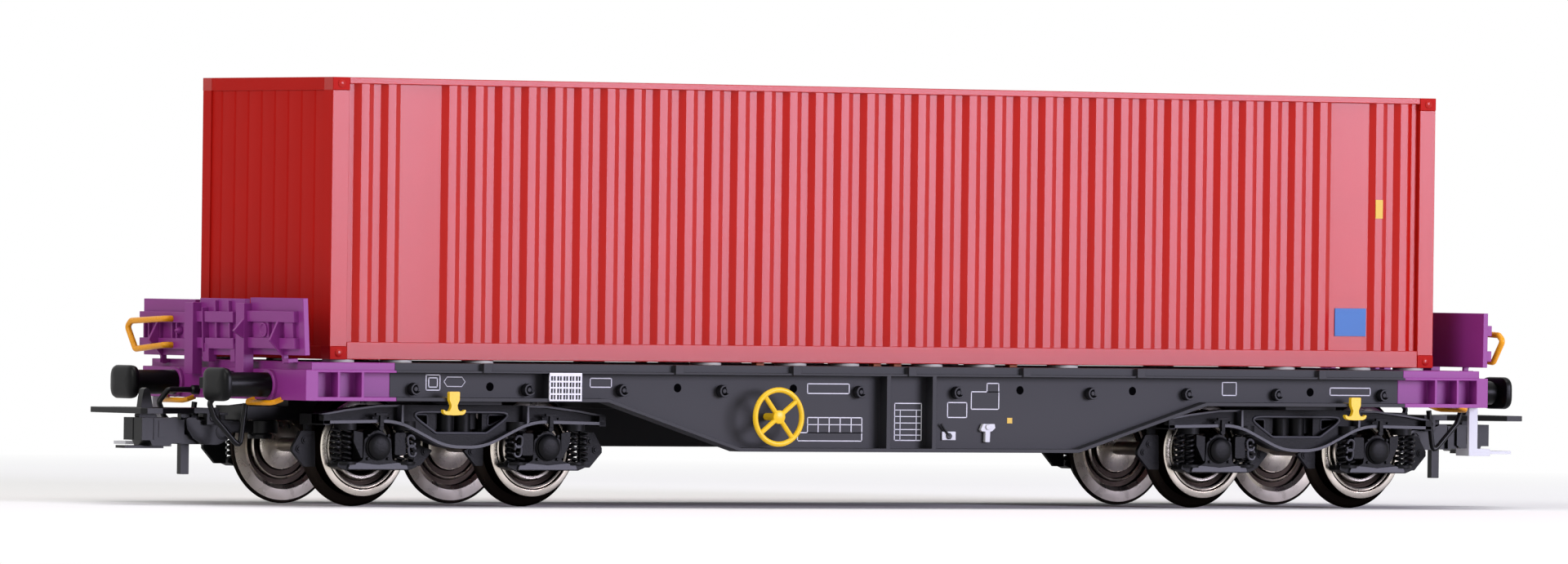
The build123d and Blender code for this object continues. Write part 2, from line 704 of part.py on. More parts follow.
for number, axle_x in wheelset_xs.items():
    with BuildPart() as wheels:
        for side in (-1, 1):
            with BuildSketch(Plane(origin=(axle_x, 0, axle_z), x_dir=(0, 0, 1), z_dir=(-side, 0, 0))):
                with BuildLine():
                    Polyline(*[(r, y) for r, y in wheel_profile], close=True)
                make_face()
            revolve(axis=Axis((axle_x, 0, axle_z), (0, 1, 0)))
    wheels.part.label = f"wheels_{number}"
    export_step(wheels.part, f"parts/wheels_{number}.step")
    with BuildPart() as axle:
        with BuildSketch(Plane.XZ.offset(-axle_half)):
            with Locations((axle_x, axle_z)):
                Circle(axle_r)
        extrude(amount=2 * axle_half)
    axle.part.label = f"axle_{number}"
    export_step(axle.part, f"parts/axle_{number}.step")

# Coupler pockets: a flat box with a pivot pin below it, hung from a block further in
pocket_x0 = 65.0
pocket_x1 = 74.0
pocket_block_x1 = 69.0
pocket_half_w = 3.4
pocket_t = 1.5
pocket_height = 8.0
pocket_low_z = rail_z + pocket_height
shank_h = 1.3
shank_gap = 0.1
shank_top_z = pocket_low_z - shank_gap
shank_low_z = shank_top_z - shank_h
pin_head_h = 0.5
pin_head_lap = 0.5
pin_low_z = shank_low_z - shank_gap - pin_head_h

with BuildPart() as coupler_pockets:
    for end in (-1, 1):
        with Locations((end * (pocket_x0 + pocket_x1) / 2, 0, pocket_low_z + pocket_t / 2)):
            Box(pocket_x1 - pocket_x0, 2 * pocket_half_w, pocket_t)
        with Locations((end * (pocket_x0 + pocket_block_x1) / 2, 0, (pocket_low_z + lip_top) / 2)):
            Box(pocket_block_x1 - pocket_x0, 2 * pocket_half_w, lip_top - pocket_low_z)
        with Locations((end * coupler_pivot_x, 0, pin_low_z)):
            Cylinder(coupler_pin_r, pocket_low_z - pin_low_z, align=(Align.CENTER, Align.CENTER, Align.MIN))
            Cylinder(coupler_pin_r + pin_head_lap, pin_head_h, align=(Align.CENTER, Align.CENTER, Align.MIN))
coupler_pockets.part.label = "coupler_pockets"
export_step(coupler_pockets.part, "parts/coupler_pockets.step")

# Couplers: an eye and shank, two cheeks, a head with a hook and a tongue, and stub pins that carry the bow
eye_r = 1.9
shank_w = 2.4
cheek_t = 0.6
cheek_low_z = rail_z + 5.3
cheek_top_z = rail_z + 8.3
cheek_x0 = 73.9
head_x0 = 82.5
head_x1 = 85.9
head_half_w = 2.0
head_low_z = rail_z + 5.8
head_top_z = rail_z + 8.2
tongue_x0 = 82.7
tongue_x1 = 87.4
tongue_step_x = 85.3
tongue_half_w = 1.0
tongue_low_z = rail_z + 4.95
tongue_t = 0.3
hook_x = 84.0
hook_top_z = rail_z + 11.4
hook_t = 1.0
hinge_x = 77.6
hinge_z = rail_z + 8.2
hinge_r = 0.35
lug_half = 0.75
lug_t = 0.6
side_gap = 0.1
cheek_step_x = hinge_x - 0.5
cheek_outline = [(cheek_x0, shank_low_z + 0.3), (cheek_x0 + 0.6, cheek_low_z + 0.7),
                 (cheek_x0 + 2.2, cheek_low_z), (head_x0 - 1.0, cheek_low_z),
                 (head_x0 + 0.2, head_low_z), (head_x0 + 0.2, cheek_top_z),
                 (cheek_step_x, cheek_top_z), (cheek_step_x, shank_top_z), (cheek_x0, shank_top_z)]
shank_x1 = hinge_x + 0.6

with BuildPart() as coupler_head_right:
    with Locations((coupler_pivot_x, 0, shank_low_z)):
        Cylinder(eye_r, shank_h, align=(Align.CENTER, Align.CENTER, Align.MIN))
    with Locations(((coupler_pivot_x + shank_x1) / 2, 0, shank_low_z + shank_h / 2)):
        Box(shank_x1 - coupler_pivot_x, shank_w, shank_h)
    with Locations((coupler_pivot_x, 0, shank_low_z)):
        Cylinder(coupler_pin_r + pivot_clear, shank_h, align=(Align.CENTER, Align.CENTER, Align.MIN),
                 mode=Mode.SUBTRACT)
    for y in (-shank_w / 2 - cheek_t, shank_w / 2):
        with BuildSketch(Plane.XZ.offset(-y - cheek_t)):
            with BuildLine():
                Polyline(*cheek_outline, close=True)
            make_face()
        extrude(amount=cheek_t)
    with Locations(((head_x0 + head_x1) / 2, 0, (head_low_z + head_top_z) / 2)):
        Box(head_x1 - head_x0, 2 * head_half_w, head_top_z - head_low_z)
    with Locations(((tongue_x0 + tongue_step_x) / 2, 0, (tongue_low_z + head_low_z) / 2)):
        Box(tongue_step_x - tongue_x0, 2 * tongue_half_w, head_low_z - tongue_low_z)
    with Locations(((tongue_x0 + tongue_x1) / 2, 0, tongue_low_z + tongue_t / 2)):
        Box(tongue_x1 - tongue_x0, 2 * tongue_half_w, tongue_t)
    with BuildSketch(Plane.XZ.offset(-hook_t / 2)):
        with BuildLine():
            Polyline((hook_x - 1.0, head_top_z), (hook_x - 0.5, hook_top_z - 0.4), (hook_x, hook_top_z),
                     (hook_x + 0.5, hook_top_z - 0.3), (hook_x + 0.9, head_top_z), close=True)
        make_face()
    extrude(amount=hook_t)
    with BuildSketch(Plane.XZ.offset(-shank_w / 2 - cheek_t - side_gap - lug_t)):
        with Locations((hinge_x, hinge_z)):
            Circle(hinge_r)
    extrude(amount=shank_w + 2 * (cheek_t + side_gap + lug_t))
coupler_head_right.part.label = "coupler_head_right"
export_step(coupler_head_right.part, "parts/coupler_head_right.step")

# Coupler bows: a rear plate with hinge lugs, two arms, a front bar, and a trip pin that lifts the bow
plate_x0 = hinge_x - lug_half
plate_x1 = 80.9
plate_half_w = shank_w / 2 + cheek_t + side_gap + lug_t
trip_pin_l = 1.0
trip_pin_w = 0.8
trip_pin_low_z = rail_z + 2.2
bow_low_z = rail_z + bow_z
shoulder_x = bow_front_x - 2.4
bow_outline = [(plate_x0, plate_half_w), (plate_x1 - 1.0, plate_half_w), (shoulder_x, bow_half_w),
               (bow_front_x - bow_corner, bow_half_w), (bow_front_x, bow_half_w - bow_corner)]
bow_window = [(plate_x1, head_half_w + 0.3), (shoulder_x, bow_half_w - bow_bar),
              (bow_front_x - bow_bar, bow_half_w - bow_bar)]

with BuildPart() as coupler_bow_right:
    with BuildSketch(Plane.XY.offset(bow_low_z)):
        for outline, mode in ((bow_outline, Mode.ADD), (bow_window, Mode.SUBTRACT)):
            with BuildLine():
                Polyline(*outline, *[(x, -y) for x, y in reversed(outline)], close=True)
            make_face(mode=mode)
    extrude(amount=bow_t)
    for side in (-1, 1):
        lug_y = side * (plate_half_w - lug_t / 2)
        with Locations((hinge_x, lug_y, (hinge_z - lug_half + bow_low_z) / 2)):
            Box(2 * lug_half, lug_t, bow_low_z - hinge_z + lug_half)
    with BuildSketch(Plane.XZ.offset(-plate_half_w)):
        with Locations((hinge_x, hinge_z)):
            Circle(hinge_r + pivot_clear)
    extrude(amount=2 * plate_half_w, mode=Mode.SUBTRACT)
    with Locations((trip_pin_x, 0, (trip_pin_low_z + bow_low_z) / 2)):
        Box(trip_pin_l, trip_pin_w, bow_low_z - trip_pin_low_z)
coupler_bow_right.part.label = "coupler_bow_right"
export_step(coupler_bow_right.part, "parts/coupler_bow_right.step")

for name, source in (("coupler_head_left", coupler_head_right), ("coupler_bow_left", coupler_bow_right)):
    with BuildPart() as turned:
        add(source.part, rotation=(0, 0, 180))
    turned.part.label = name
    export_step(turned.part, f"parts/{name}.step")

# Container corners: eight castings with lifting slots, and four posts between them
half_l = box_l / 2
half_w = box_w / 2
box_top = box_z0 + box_h
slot_l = 124 / scale
slot_w = 63.5 / scale
slot_dx = 11985 / scale / 2
slot_dy = 2259 / scale / 2
side_hole_r = 0.42
hole_depth = 0.5
corners = [(sx, sy) for sx in (-1, 1) for sy in (-1, 1)]

with BuildPart() as corner_castings:
    for sx, sy in corners:
        for z in (box_z0 + casting_h / 2, box_top - casting_h / 2):
            with Locations((sx * (half_l - casting_l / 2), sy * (half_w - casting_w / 2), z)):
                Box(casting_l, casting_w, casting_h)
            with BuildSketch(Plane.XZ.offset(half_w if sy < 0 else -half_w)):
                with Locations((sx * (half_l - casting_l / 2), z)):
                    Circle(side_hole_r)
            extrude(amount=sy * hole_depth, mode=Mode.SUBTRACT)
    with BuildSketch(Plane.XY.offset(box_top)):
        with Locations([(sx * slot_dx, sy * slot_dy) for sx, sy in corners]):
            SlotOverall(slot_l, slot_w)
    extrude(amount=-2 * hole_depth, mode=Mode.SUBTRACT)
corner_castings.part.label = "corner_castings"
export_step(corner_castings.part, "parts/corner_castings.step")

with BuildPart() as corner_posts:
    with Locations([(sx * (half_l - casting_l / 2), sy * (half_w - casting_w / 2), box_z0 + box_h / 2)
                    for sx, sy in corners]):
        Box(casting_l, casting_w, box_h - 2 * casting_h)
corner_posts.part.label = "corner_posts"
export_step(corner_posts.part, "parts/corner_posts.step")

# Container side walls: rails and a corrugated sheet, with a flat label panel near each end
bottom_rail_h = 162 / scale
top_rail_h = 60 / scale
sheet_out_y = half_w - 0.1
wall_end_x = half_l - casting_l
outer_flat_count = 35
past_label_x = 62.76
flat_half = corr_outer / 2
flat_xs = [(i - (outer_flat_count - 1) / 2) * corr_pitch for i in range(outer_flat_count)]
side_xs = [past_label_x, past_label_x + corr_pitch]
flat_xs = [-x for x in reversed(side_xs)] + flat_xs + side_xs
sheet_floor_y = sheet_out_y - corr_depth
sheet_line = []
for x in flat_xs:
    sheet_line += [(x - flat_half - corr_slope, sheet_floor_y), (x - flat_half, sheet_out_y),
                   (x + flat_half, sheet_out_y), (x + flat_half + corr_slope, sheet_floor_y)]
sheet_in_y = sheet_floor_y - wall_t

with BuildPart() as container_side_near:
    with BuildSketch(Plane.XY.offset(box_z0 + bottom_rail_h)):
        with BuildLine():
            Polyline((-wall_end_x, -sheet_floor_y), *[(x, -y) for x, y in sheet_line],
                     (wall_end_x, -sheet_floor_y), (wall_end_x, -sheet_in_y), (-wall_end_x, -sheet_in_y),
                     close=True)
        make_face()
    extrude(amount=box_h - bottom_rail_h - top_rail_h)
    for z, h in ((box_z0 + bottom_rail_h / 2, bottom_rail_h), (box_top - top_rail_h / 2, top_rail_h)):
        with Locations((0, -(half_w + sheet_in_y) / 2, z)):
            Box(2 * wall_end_x, half_w - sheet_in_y, h)
container_side_near.part.label = "container_side_near"
export_step(container_side_near.part, "parts/container_side_near.step")

with BuildPart() as container_side_far:
    mirror(container_side_near.part, about=Plane.XZ)
container_side_far.part.label = "container_side_far"
export_step(container_side_far.part, "parts/container_side_far.step")

# Container ends: a header and a sill at each end, a corrugated front wall, two door leaves with bars
end_rail_h = 120 / scale
end_half_w = half_w - casting_w
wall_x = half_l - 0.15
front_pitch = 250 / scale
front_count = 8
front_half = 0.25
front_floor_half = 0.1
front_fold_depth = 0.1
front_ys = [(i - (front_count - 1) / 2) * front_pitch for i in range(front_count)]
front_line = []
for y in front_ys:
    front_line += [(-wall_x, y - front_half), (-wall_x + front_fold_depth, y - front_floor_half),
                   (-wall_x + front_fold_depth, y + front_floor_half), (-wall_x, y + front_half)]
front_in_x = -wall_x + corr_depth + wall_t
door_t = 0.7
door_gap = 0.1
bar_r = 0.22
lock_bar_ys = (2.9, 8.6)

with BuildPart() as end_rails:
    for sx in (-1, 1):
        for z in (box_z0 + end_rail_h / 2, box_top - end_rail_h / 2):
            with Locations((sx * (half_l - casting_l / 2), 0, z)):
                Box(casting_l, 2 * end_half_w, end_rail_h)
end_rails.part.label = "end_rails"
export_step(end_rails.part, "parts/end_rails.step")

with BuildPart() as front_wall:
    with BuildSketch(Plane.XY.offset(box_z0 + end_rail_h)):
        with BuildLine():
            Polyline((-wall_x, -end_half_w), *front_line, (-wall_x, end_half_w), (front_in_x, end_half_w),
                     (front_in_x, -end_half_w), close=True)
        make_face()
    extrude(amount=box_h - 2 * end_rail_h)
front_wall.part.label = "front_wall"
export_step(front_wall.part, "parts/front_wall.step")

door_w = end_half_w - door_gap / 2
door_h = box_h - 2 * end_rail_h
door_x = half_l - 0.5
for name, side in (("door_leaf_near", -1), ("door_leaf_far", 1)):
    with BuildPart() as door_leaf:
        with Locations((door_x - door_t / 2, side * (door_gap / 2 + door_w / 2), box_z0 + box_h / 2)):
            Box(door_t, door_w, door_h)
    door_leaf.part.label = name
    export_step(door_leaf.part, f"parts/{name}.step")

with BuildPart() as locking_bars:
    for side in (-1, 1):
        for y in lock_bar_ys:
            with Locations((door_x + bar_r, side * y, box_z0 + box_h / 2)):
                Cylinder(bar_r, door_h)
locking_bars.part.label = "locking_bars"
export_step(locking_bars.part, "parts/locking_bars.step")

# Container roof and floor
roof_t = 0.5
roof_drop = 0.1
roof_pitch = 209 / scale
roof_depth = 20 / scale
roof_half_l = half_l - casting_l
roof_count = int(2 * roof_half_l / roof_pitch)
floor_t = 0.5
floor_z = box_z0 + bottom_rail_h - floor_t
roof_z = box_top - roof_drop
roof_line = []
for i in range(roof_count):
    x = (i - (roof_count - 1) / 2) * roof_pitch
    roof_line += [(x - 0.7, roof_z), (x - 0.4, roof_z - roof_depth),
                  (x + 0.4, roof_z - roof_depth), (x + 0.7, roof_z)]

with BuildPart() as container_roof:
    with BuildSketch(Plane.XZ.offset(-sheet_in_y)):
        with BuildLine():
            Polyline((-roof_half_l, roof_z), *roof_line, (roof_half_l, roof_z),
                     (roof_half_l, roof_z - roof_t - roof_depth),
                     (-roof_half_l, roof_z - roof_t - roof_depth), close=True)
        make_face()
    extrude(amount=2 * sheet_in_y)
container_roof.part.label = "container_roof"
export_step(container_roof.part, "parts/container_roof.step")

with BuildPart() as container_floor:
    with Locations((0, 0, floor_z + floor_t / 2)):
        Box(2 * roof_half_l, 2 * sheet_in_y, floor_t)
container_floor.part.label = "container_floor"
export_step(container_floor.part, "parts/container_floor.step")
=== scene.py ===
# %% [markdown]
# A container flatcar in H0, dressed for its picture. The wagon is a 1:87 model in painted and
# moulded plastic on turned metal wheels. Its solids come ready made as a fixed frame, and each cell
# below adds one finish or one set of small pieces to them. Loading comes first, because every piece
# takes its place from the frame.

# %% Load the frame
import json
import math

import bmesh
import bpy
from mathutils import Matrix, Vector
from mathutils.geometry import tessellate_polygon


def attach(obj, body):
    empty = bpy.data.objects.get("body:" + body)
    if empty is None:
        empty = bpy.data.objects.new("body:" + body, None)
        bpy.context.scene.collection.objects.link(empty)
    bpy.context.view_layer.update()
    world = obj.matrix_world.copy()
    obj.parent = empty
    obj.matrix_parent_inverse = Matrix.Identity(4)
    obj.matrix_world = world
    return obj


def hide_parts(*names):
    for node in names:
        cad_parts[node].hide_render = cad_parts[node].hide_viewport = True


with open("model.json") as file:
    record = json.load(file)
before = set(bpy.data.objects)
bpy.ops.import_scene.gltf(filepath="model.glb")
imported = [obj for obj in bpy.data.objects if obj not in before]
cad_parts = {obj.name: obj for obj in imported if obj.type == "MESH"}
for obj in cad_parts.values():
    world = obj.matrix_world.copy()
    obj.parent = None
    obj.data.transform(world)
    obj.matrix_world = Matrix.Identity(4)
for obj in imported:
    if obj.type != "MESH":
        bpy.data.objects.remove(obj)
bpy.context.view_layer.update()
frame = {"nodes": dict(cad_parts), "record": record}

MM = 0.001

# %% [markdown]
# The picture was taken from far off with a long lens, so the wagon hardly tapers. The camera stands
# about 1.56 m away, 32 degrees round from the side and 26 mm above the wheels' feet. Its turn is
# built from yaw, pitch and roll rather than from a target point, because the roll of 0.7 degrees
# matters on a wagon this long.

# %% Camera
TREAD_FOOT_Z = 1.0
CAM_DISTANCE = 1562.3
CAM_HEIGHT = 25.88
CAM_AZIMUTH = math.radians(31.667)
CAM_YAW, CAM_PITCH, CAM_ROLL = (math.radians(v) for v in (31.496, -0.096, 0.710))
CAM_LENS = 329.9

forward = Vector((math.sin(CAM_YAW) * math.cos(CAM_PITCH), math.cos(CAM_YAW) * math.cos(CAM_PITCH),
                  math.sin(CAM_PITCH)))
level_right = Vector((math.cos(CAM_YAW), -math.sin(CAM_YAW), 0))
level_up = level_right.cross(forward)
cam_right = level_right * math.cos(CAM_ROLL) + level_up * math.sin(CAM_ROLL)
cam_up = -level_right * math.sin(CAM_ROLL) + level_up * math.cos(CAM_ROLL)

camera = bpy.data.objects.new("camera", bpy.data.cameras.new("camera"))
bpy.context.scene.collection.objects.link(camera)
camera.data.sensor_width = 36
camera.data.lens = CAM_LENS
turn = Matrix((cam_right, cam_up, -forward)).transposed().to_4x4()
place = Vector((-math.sin(CAM_AZIMUTH) * CAM_DISTANCE, -math.cos(CAM_AZIMUTH) * CAM_DISTANCE,
                CAM_HEIGHT + TREAD_FOOT_Z)) * MM
camera.matrix_world = Matrix.Translation(place) @ turn
bpy.context.scene.camera = camera
print("camera at", [round(v, 3) for v in camera.location], "m")

# %% [markdown]
# Colours are written as sRGB hex values, as a paint chart gives them, and Blender works in linear
# light, so one function turns the one into the other. A second small function adds any node with its
# settings and links. Every finish below is made with these two.

# %% Colour and node helpers
def linear(hex_colour):
    parts = [int(hex_colour[i:i + 2], 16) / 255 for i in (1, 3, 5)]
    return (*[p / 12.92 if p <= 0.04045 else ((p + 0.055) / 1.055) ** 2.4 for p in parts], 1.0)


def add_node(tree, kind, settings=None, links=None):
    node = tree.nodes.new(kind)
    for key, value in (settings or {}).items():
        if isinstance(key, str) and hasattr(node, key):
            setattr(node, key, value)
        else:
            node.inputs[key].default_value = value
    for key, source in (links or {}).items():
        tree.links.new(source, node.inputs[key])
    return node


print("white is", linear("#FFFFFF")[:3])

# %% [markdown]
# The wagon stands in a white studio. The world is white to the eye, to gloss and to clear things,
# and a soft grey where it lights matt surfaces, so that colours keep the level at which they are
# written. The floor is a pale matt sheet that keeps the wagon's shadow and fades to white further out.

# %% World and floor
AMBIENT = 0.24
FLOOR_SIZE = 6.0
FADE_FROM, FADE_TO = 0.16, 0.34


def seen_directly(tree):
    path = add_node(tree, "ShaderNodeLightPath")
    gloss = add_node(tree, "ShaderNodeMath", {"operation": "MAXIMUM"},
                     {0: path.outputs["Is Camera Ray"], 1: path.outputs["Is Glossy Ray"]})
    return add_node(tree, "ShaderNodeMath", {"operation": "MAXIMUM"},
                    {0: gloss.outputs[0], 1: path.outputs["Is Transmission Ray"]}).outputs[0]


world = bpy.data.worlds.new("white_studio")
world.use_nodes = True
bpy.context.scene.world = world
world.node_tree.nodes.clear()
grey = add_node(world.node_tree, "ShaderNodeBackground", {"Color": (1, 1, 1, 1), "Strength": AMBIENT})
white = add_node(world.node_tree, "ShaderNodeBackground", {"Color": (1, 1, 1, 1), "Strength": 1.0})
either = add_node(world.node_tree, "ShaderNodeMixShader", None,
                  {0: seen_directly(world.node_tree), 1: grey.outputs[0], 2: white.outputs[0]})
add_node(world.node_tree, "ShaderNodeOutputWorld", None, {"Surface": either.outputs[0]})

floor_finish = bpy.data.materials.new("matt_paper_floor")
floor_finish.use_nodes = True
tree = floor_finish.node_tree
tree.nodes.clear()
paper = add_node(tree, "ShaderNodeBsdfDiffuse", {"Color": linear("#F4F4F4")})
glow = add_node(tree, "ShaderNodeEmission", {"Color": (1, 1, 1, 1), "Strength": 1.0})
spot = add_node(tree, "ShaderNodeTexCoord").outputs["Object"]
far = add_node(tree, "ShaderNodeVectorMath", {"operation": "LENGTH"}, {0: spot})
fade = add_node(tree, "ShaderNodeMapRange", {"From Min": FADE_FROM, "From Max": FADE_TO},
                {"Value": far.outputs["Value"]})
fade_seen = add_node(tree, "ShaderNodeMath", {"operation": "MULTIPLY"},
                     {0: fade.outputs["Result"], 1: seen_directly(tree)})
both = add_node(tree, "ShaderNodeMixShader", None,
                {0: fade_seen.outputs[0], 1: paper.outputs[0], 2: glow.outputs[0]})
add_node(tree, "ShaderNodeOutputMaterial", None, {"Surface": both.outputs[0]})

bm = bmesh.new()
bmesh.ops.create_grid(bm, x_segments=8, y_segments=8, size=FLOOR_SIZE / 2)
floor_mesh = bpy.data.meshes.new("floor")
bm.to_mesh(floor_mesh)
bm.free()
floor = bpy.data.objects.new("floor", floor_mesh)
floor.location.z = -0.02 * MM
floor_mesh.materials.append(floor_finish)
bpy.context.scene.collection.objects.link(floor)
print("floor", FLOOR_SIZE, "m wide")

# %% [markdown]
# One large soft box stands in front and to the right, just where the container's side mirrors it
# towards the camera: that is what turns the red side pink in the picture, while its end stays deep
# red. A weak one on the left and a wide one above fill the rest. The lamps are area lights, because
# their size sets how soft the highlights are.

# %% Lamps
SOFT_BOXES = (
    # name, azimuth in degrees, elevation, distance in m, size in m, power in W, colour
    ("key_box", 31, 7, 1.3, 0.6, 20.0, "#E8E4FF"),
    ("left_box", -74, 28, 1.4, 1.0, 10.0, "#FFFCF8"),
    ("top_box", 10, 78, 1.2, 0.9, 9.0, "#FFFFFF"),
)
AIM = Vector((0, 0, 0.025))
for name, azimuth, elevation, distance, size, power, colour in SOFT_BOXES:
    lamp = bpy.data.objects.new(name, bpy.data.lights.new(name, "AREA"))
    lamp.data.energy = power
    lamp.data.size = size
    lamp.data.color = linear(colour)[:3]
    a, e = math.radians(azimuth), math.radians(elevation)
    way = Vector((math.sin(a) * math.cos(e), -math.cos(a) * math.cos(e), math.sin(e)))
    lamp.location = AIM + way * distance
    lamp.rotation_mode = "QUATERNION"
    lamp.rotation_quaternion = way.to_track_quat("Z", "Y")
    lamp.visible_camera = False
    bpy.context.scene.collection.objects.link(lamp)
bpy.context.scene.view_settings.view_transform = "Standard"
print("soft boxes", len(SOFT_BOXES))

# %% [markdown]
# Most of the model is polystyrene or ABS, moulded in steel tools and some of it sprayed. Close up
# such a skin is not quite even: the gloss varies a little, and a fine grain of about a tenth of a
# millimetre breaks the highlights. One function makes that skin from a colour, a roughness and the
# grain size, and each finish is then a line that names the real thing.

# %% Plastic finishes
PLASTIC_IOR = 1.49
CLOUD_MM = 6
GRAIN_DEPTH_MM = 0.02


def new_finish(name):
    """A new material, its empty node tree, and the coordinates of the object that it is on."""
    finish = bpy.data.materials.new(name)
    finish.use_nodes = True
    tree = finish.node_tree
    tree.nodes.clear()
    return finish, tree, add_node(tree, "ShaderNodeTexCoord").outputs["Object"]


def add_skin(tree, settings, links, pattern, bump, depth_mm):
    """The shader with its settings and links, and a bump that follows the pattern."""
    height = add_node(tree, "ShaderNodeBump", {"Strength": bump, "Distance": depth_mm * MM},
                      {"Height": pattern})
    skin = add_node(tree, "ShaderNodeBsdfPrincipled", settings, {**links, "Normal": height.outputs[0]})
    add_node(tree, "ShaderNodeOutputMaterial", None, {"Surface": skin.outputs[0]})


def plastic(name, hex_colour, roughness, shine=0.25, grain_mm=0.12, bump=0.12, tint=0.06, spread=0.08):
    finish, tree, where = new_finish(name)
    grain = add_node(tree, "ShaderNodeTexNoise", {"Scale": 1 / (grain_mm * MM), "Detail": 3.0},
                     {"Vector": where}).outputs[0]
    cloud = add_node(tree, "ShaderNodeTexNoise", {"Scale": 1 / (CLOUD_MM * MM), "Detail": 2.0},
                     {"Vector": where})
    base = linear(hex_colour)[:3]
    darker = (*[c * (1 - tint) for c in base], 1.0)
    lighter = (*[min(1.0, c * (1 + tint)) for c in base], 1.0)
    colour = add_node(tree, "ShaderNodeMix", {"data_type": "RGBA", 6: darker, 7: lighter},
                      {0: cloud.outputs[0]})
    low, high = roughness - spread / 2, roughness + spread / 2
    rough = add_node(tree, "ShaderNodeMapRange", {"To Min": low, "To Max": high}, {"Value": grain})
    add_skin(tree, {"IOR": PLASTIC_IOR, "Specular IOR Level": shine},
             {"Base Color": colour.outputs[2], "Roughness": rough.outputs[0]}, grain, bump, GRAIN_DEPTH_MM)
    return finish


# Container red: through-dyed ABS with a satin tool finish, so it mirrors the soft box broadly.
red_abs = plastic("red_satin_moulded_abs", "#A4160F", 0.2)
# Matt red: the same plastic where the mould was left dull, on the end wall and the castings.
matt_red_abs = plastic("red_matt_moulded_abs", "#A5140E", 0.5, 0.06)
# Anthracite: matt spray paint on the frame, much duller than the bare plastic.
anthracite_paint = plastic("anthracite_matt_spray_paint", "#1B1B1F", 0.5)
# Purple: a satin paint on the frame's ends.
purple_paint = plastic("purple_satin_spray_paint", "#7E2C7A", 0.38)
# Black: bare polystyrene of the couplers and pipes, smooth and fairly shiny.
black_styrene = plastic("black_moulded_polystyrene", "#0C0C0E", 0.3, 0.18, bump=0.06)
# Bogie black: polystyrene from an eroded tool, which leaves it grainy and matt.
grainy_styrene = plastic("black_grainy_polystyrene", "#08080A", 0.45, 0.12, grain_mm=0.25, bump=1.0)
# Painted highlight: the same grainy polystyrene, made paler for the edges, lips and links that catch the
# light.
highlight_styrene = plastic("painted_highlight_grainy_polystyrene", "#3A3A40", 0.42, 0.3, grain_mm=0.2, bump=0.35)
# Buffer black: a denser, quieter black than the couplers.
buffer_styrene = plastic("black_satin_buffer_polystyrene", "#060607", 0.33, 0.12, bump=0.05)
# Yellow and amber: glossy enamel over small mouldings and bent wire.
yellow_enamel = plastic("yellow_gloss_enamel", "#D9B01E", 0.28)
amber_enamel = plastic("amber_gloss_enamel", "#DC9416", 0.28)
# White: ink from a pad print, flat and slightly uneven where it thins out.
white_ink = plastic("white_pad_print_ink", "#D2D2DA", 0.5, tint=0.1)
# Grey and orange: the soft pads and the small pins under the container.
grey_pad = plastic("pale_grey_soft_plastic", "#B9B9B2", 0.6)
orange_abs = plastic("orange_moulded_abs", "#C8641A", 0.4)
# Silver: a satin paint with more gloss than the frame's own paint.
silver_paint = plastic("silver_satin_paint", "#B4B5BA", 0.3, 0.4)
# Painted shade: flat black with no shine, used for thin discs where the inside of a hole would lie in shade.
hole_shade_black = plastic("painted_shade_black", "#050506", 0.9, 0.0)
# Plates: printed foil, each in one plain colour.
blue_plate = plastic("blue_printed_plate", "#175A9E", 0.35)
yellow_plate = plastic("yellow_printed_plate", "#C9A53A", 0.4)
print("plastics from", red_abs.name, "to", yellow_plate.name)

# %% [markdown]
# The wheels are turned brass, plated with bright nickel. A lathe leaves fine rings about the axle, so
# the bump follows the distance from the axle, which is the origin of each wheel's own object. Nickel
# keeps the default IOR, and its slightly warm white comes from the base colour.

# %% Nickel and steel
RING_MM, RING_DEPTH_MM, SMEAR_MM = 0.06, 0.01, 1.5


def turned_metal(name, hex_colour, roughness, ring_bump, edge_hex="#FFFFFF"):
    finish, tree, where = new_finish(name)
    flat = add_node(tree, "ShaderNodeVectorMath", {"operation": "MULTIPLY", 1: (1, 0, 1)}, {0: where})
    radius = add_node(tree, "ShaderNodeVectorMath", {"operation": "LENGTH"}, {0: flat.outputs[0]})
    line = add_node(tree, "ShaderNodeCombineXYZ", None, {"X": radius.outputs["Value"]})
    rings = add_node(tree, "ShaderNodeTexNoise", {"Scale": 1 / (RING_MM * MM), "Detail": 4.0},
                     {"Vector": line.outputs[0]})
    smear = add_node(tree, "ShaderNodeTexNoise", {"Scale": 1 / (SMEAR_MM * MM), "Detail": 3.0},
                     {"Vector": where})
    rough = add_node(tree, "ShaderNodeMapRange", {"To Min": roughness * 0.7, "To Max": roughness * 1.5},
                     {"Value": smear.outputs[0]})
    add_skin(tree, {"Metallic": 1.0, "Base Color": linear(hex_colour), "Specular Tint": linear(edge_hex)},
             {"Roughness": rough.outputs[0]}, rings.outputs[0], ring_bump, RING_DEPTH_MM)
    return finish


bright_nickel = turned_metal("bright_turned_nickel", "#E2DACE", 0.26, 0.5)
# Dark nickel on the tread and in the hollows: a painted shade for the dark reflections there.
shaded_nickel = turned_metal("painted_shade_turned_nickel", "#1F1A17", 0.32, 0.5, "#4A4440")
axle_steel = turned_metal("turned_steel_axle", "#8C857C", 0.35, 0.3)
print("metals", bright_nickel.name, shaded_nickel.name, axle_steel.name)

# %% [markdown]
# Every solid of the frame gets its finish, and its hard corners a small round, as the tool or the
# spray leaves them. The sills get a wider one, because paint gathers on their long edges. A weld comes
# before the bevel, because the loaded meshes are cut along their sharp edges. Modifiers do this
# without touching the solids' own points.

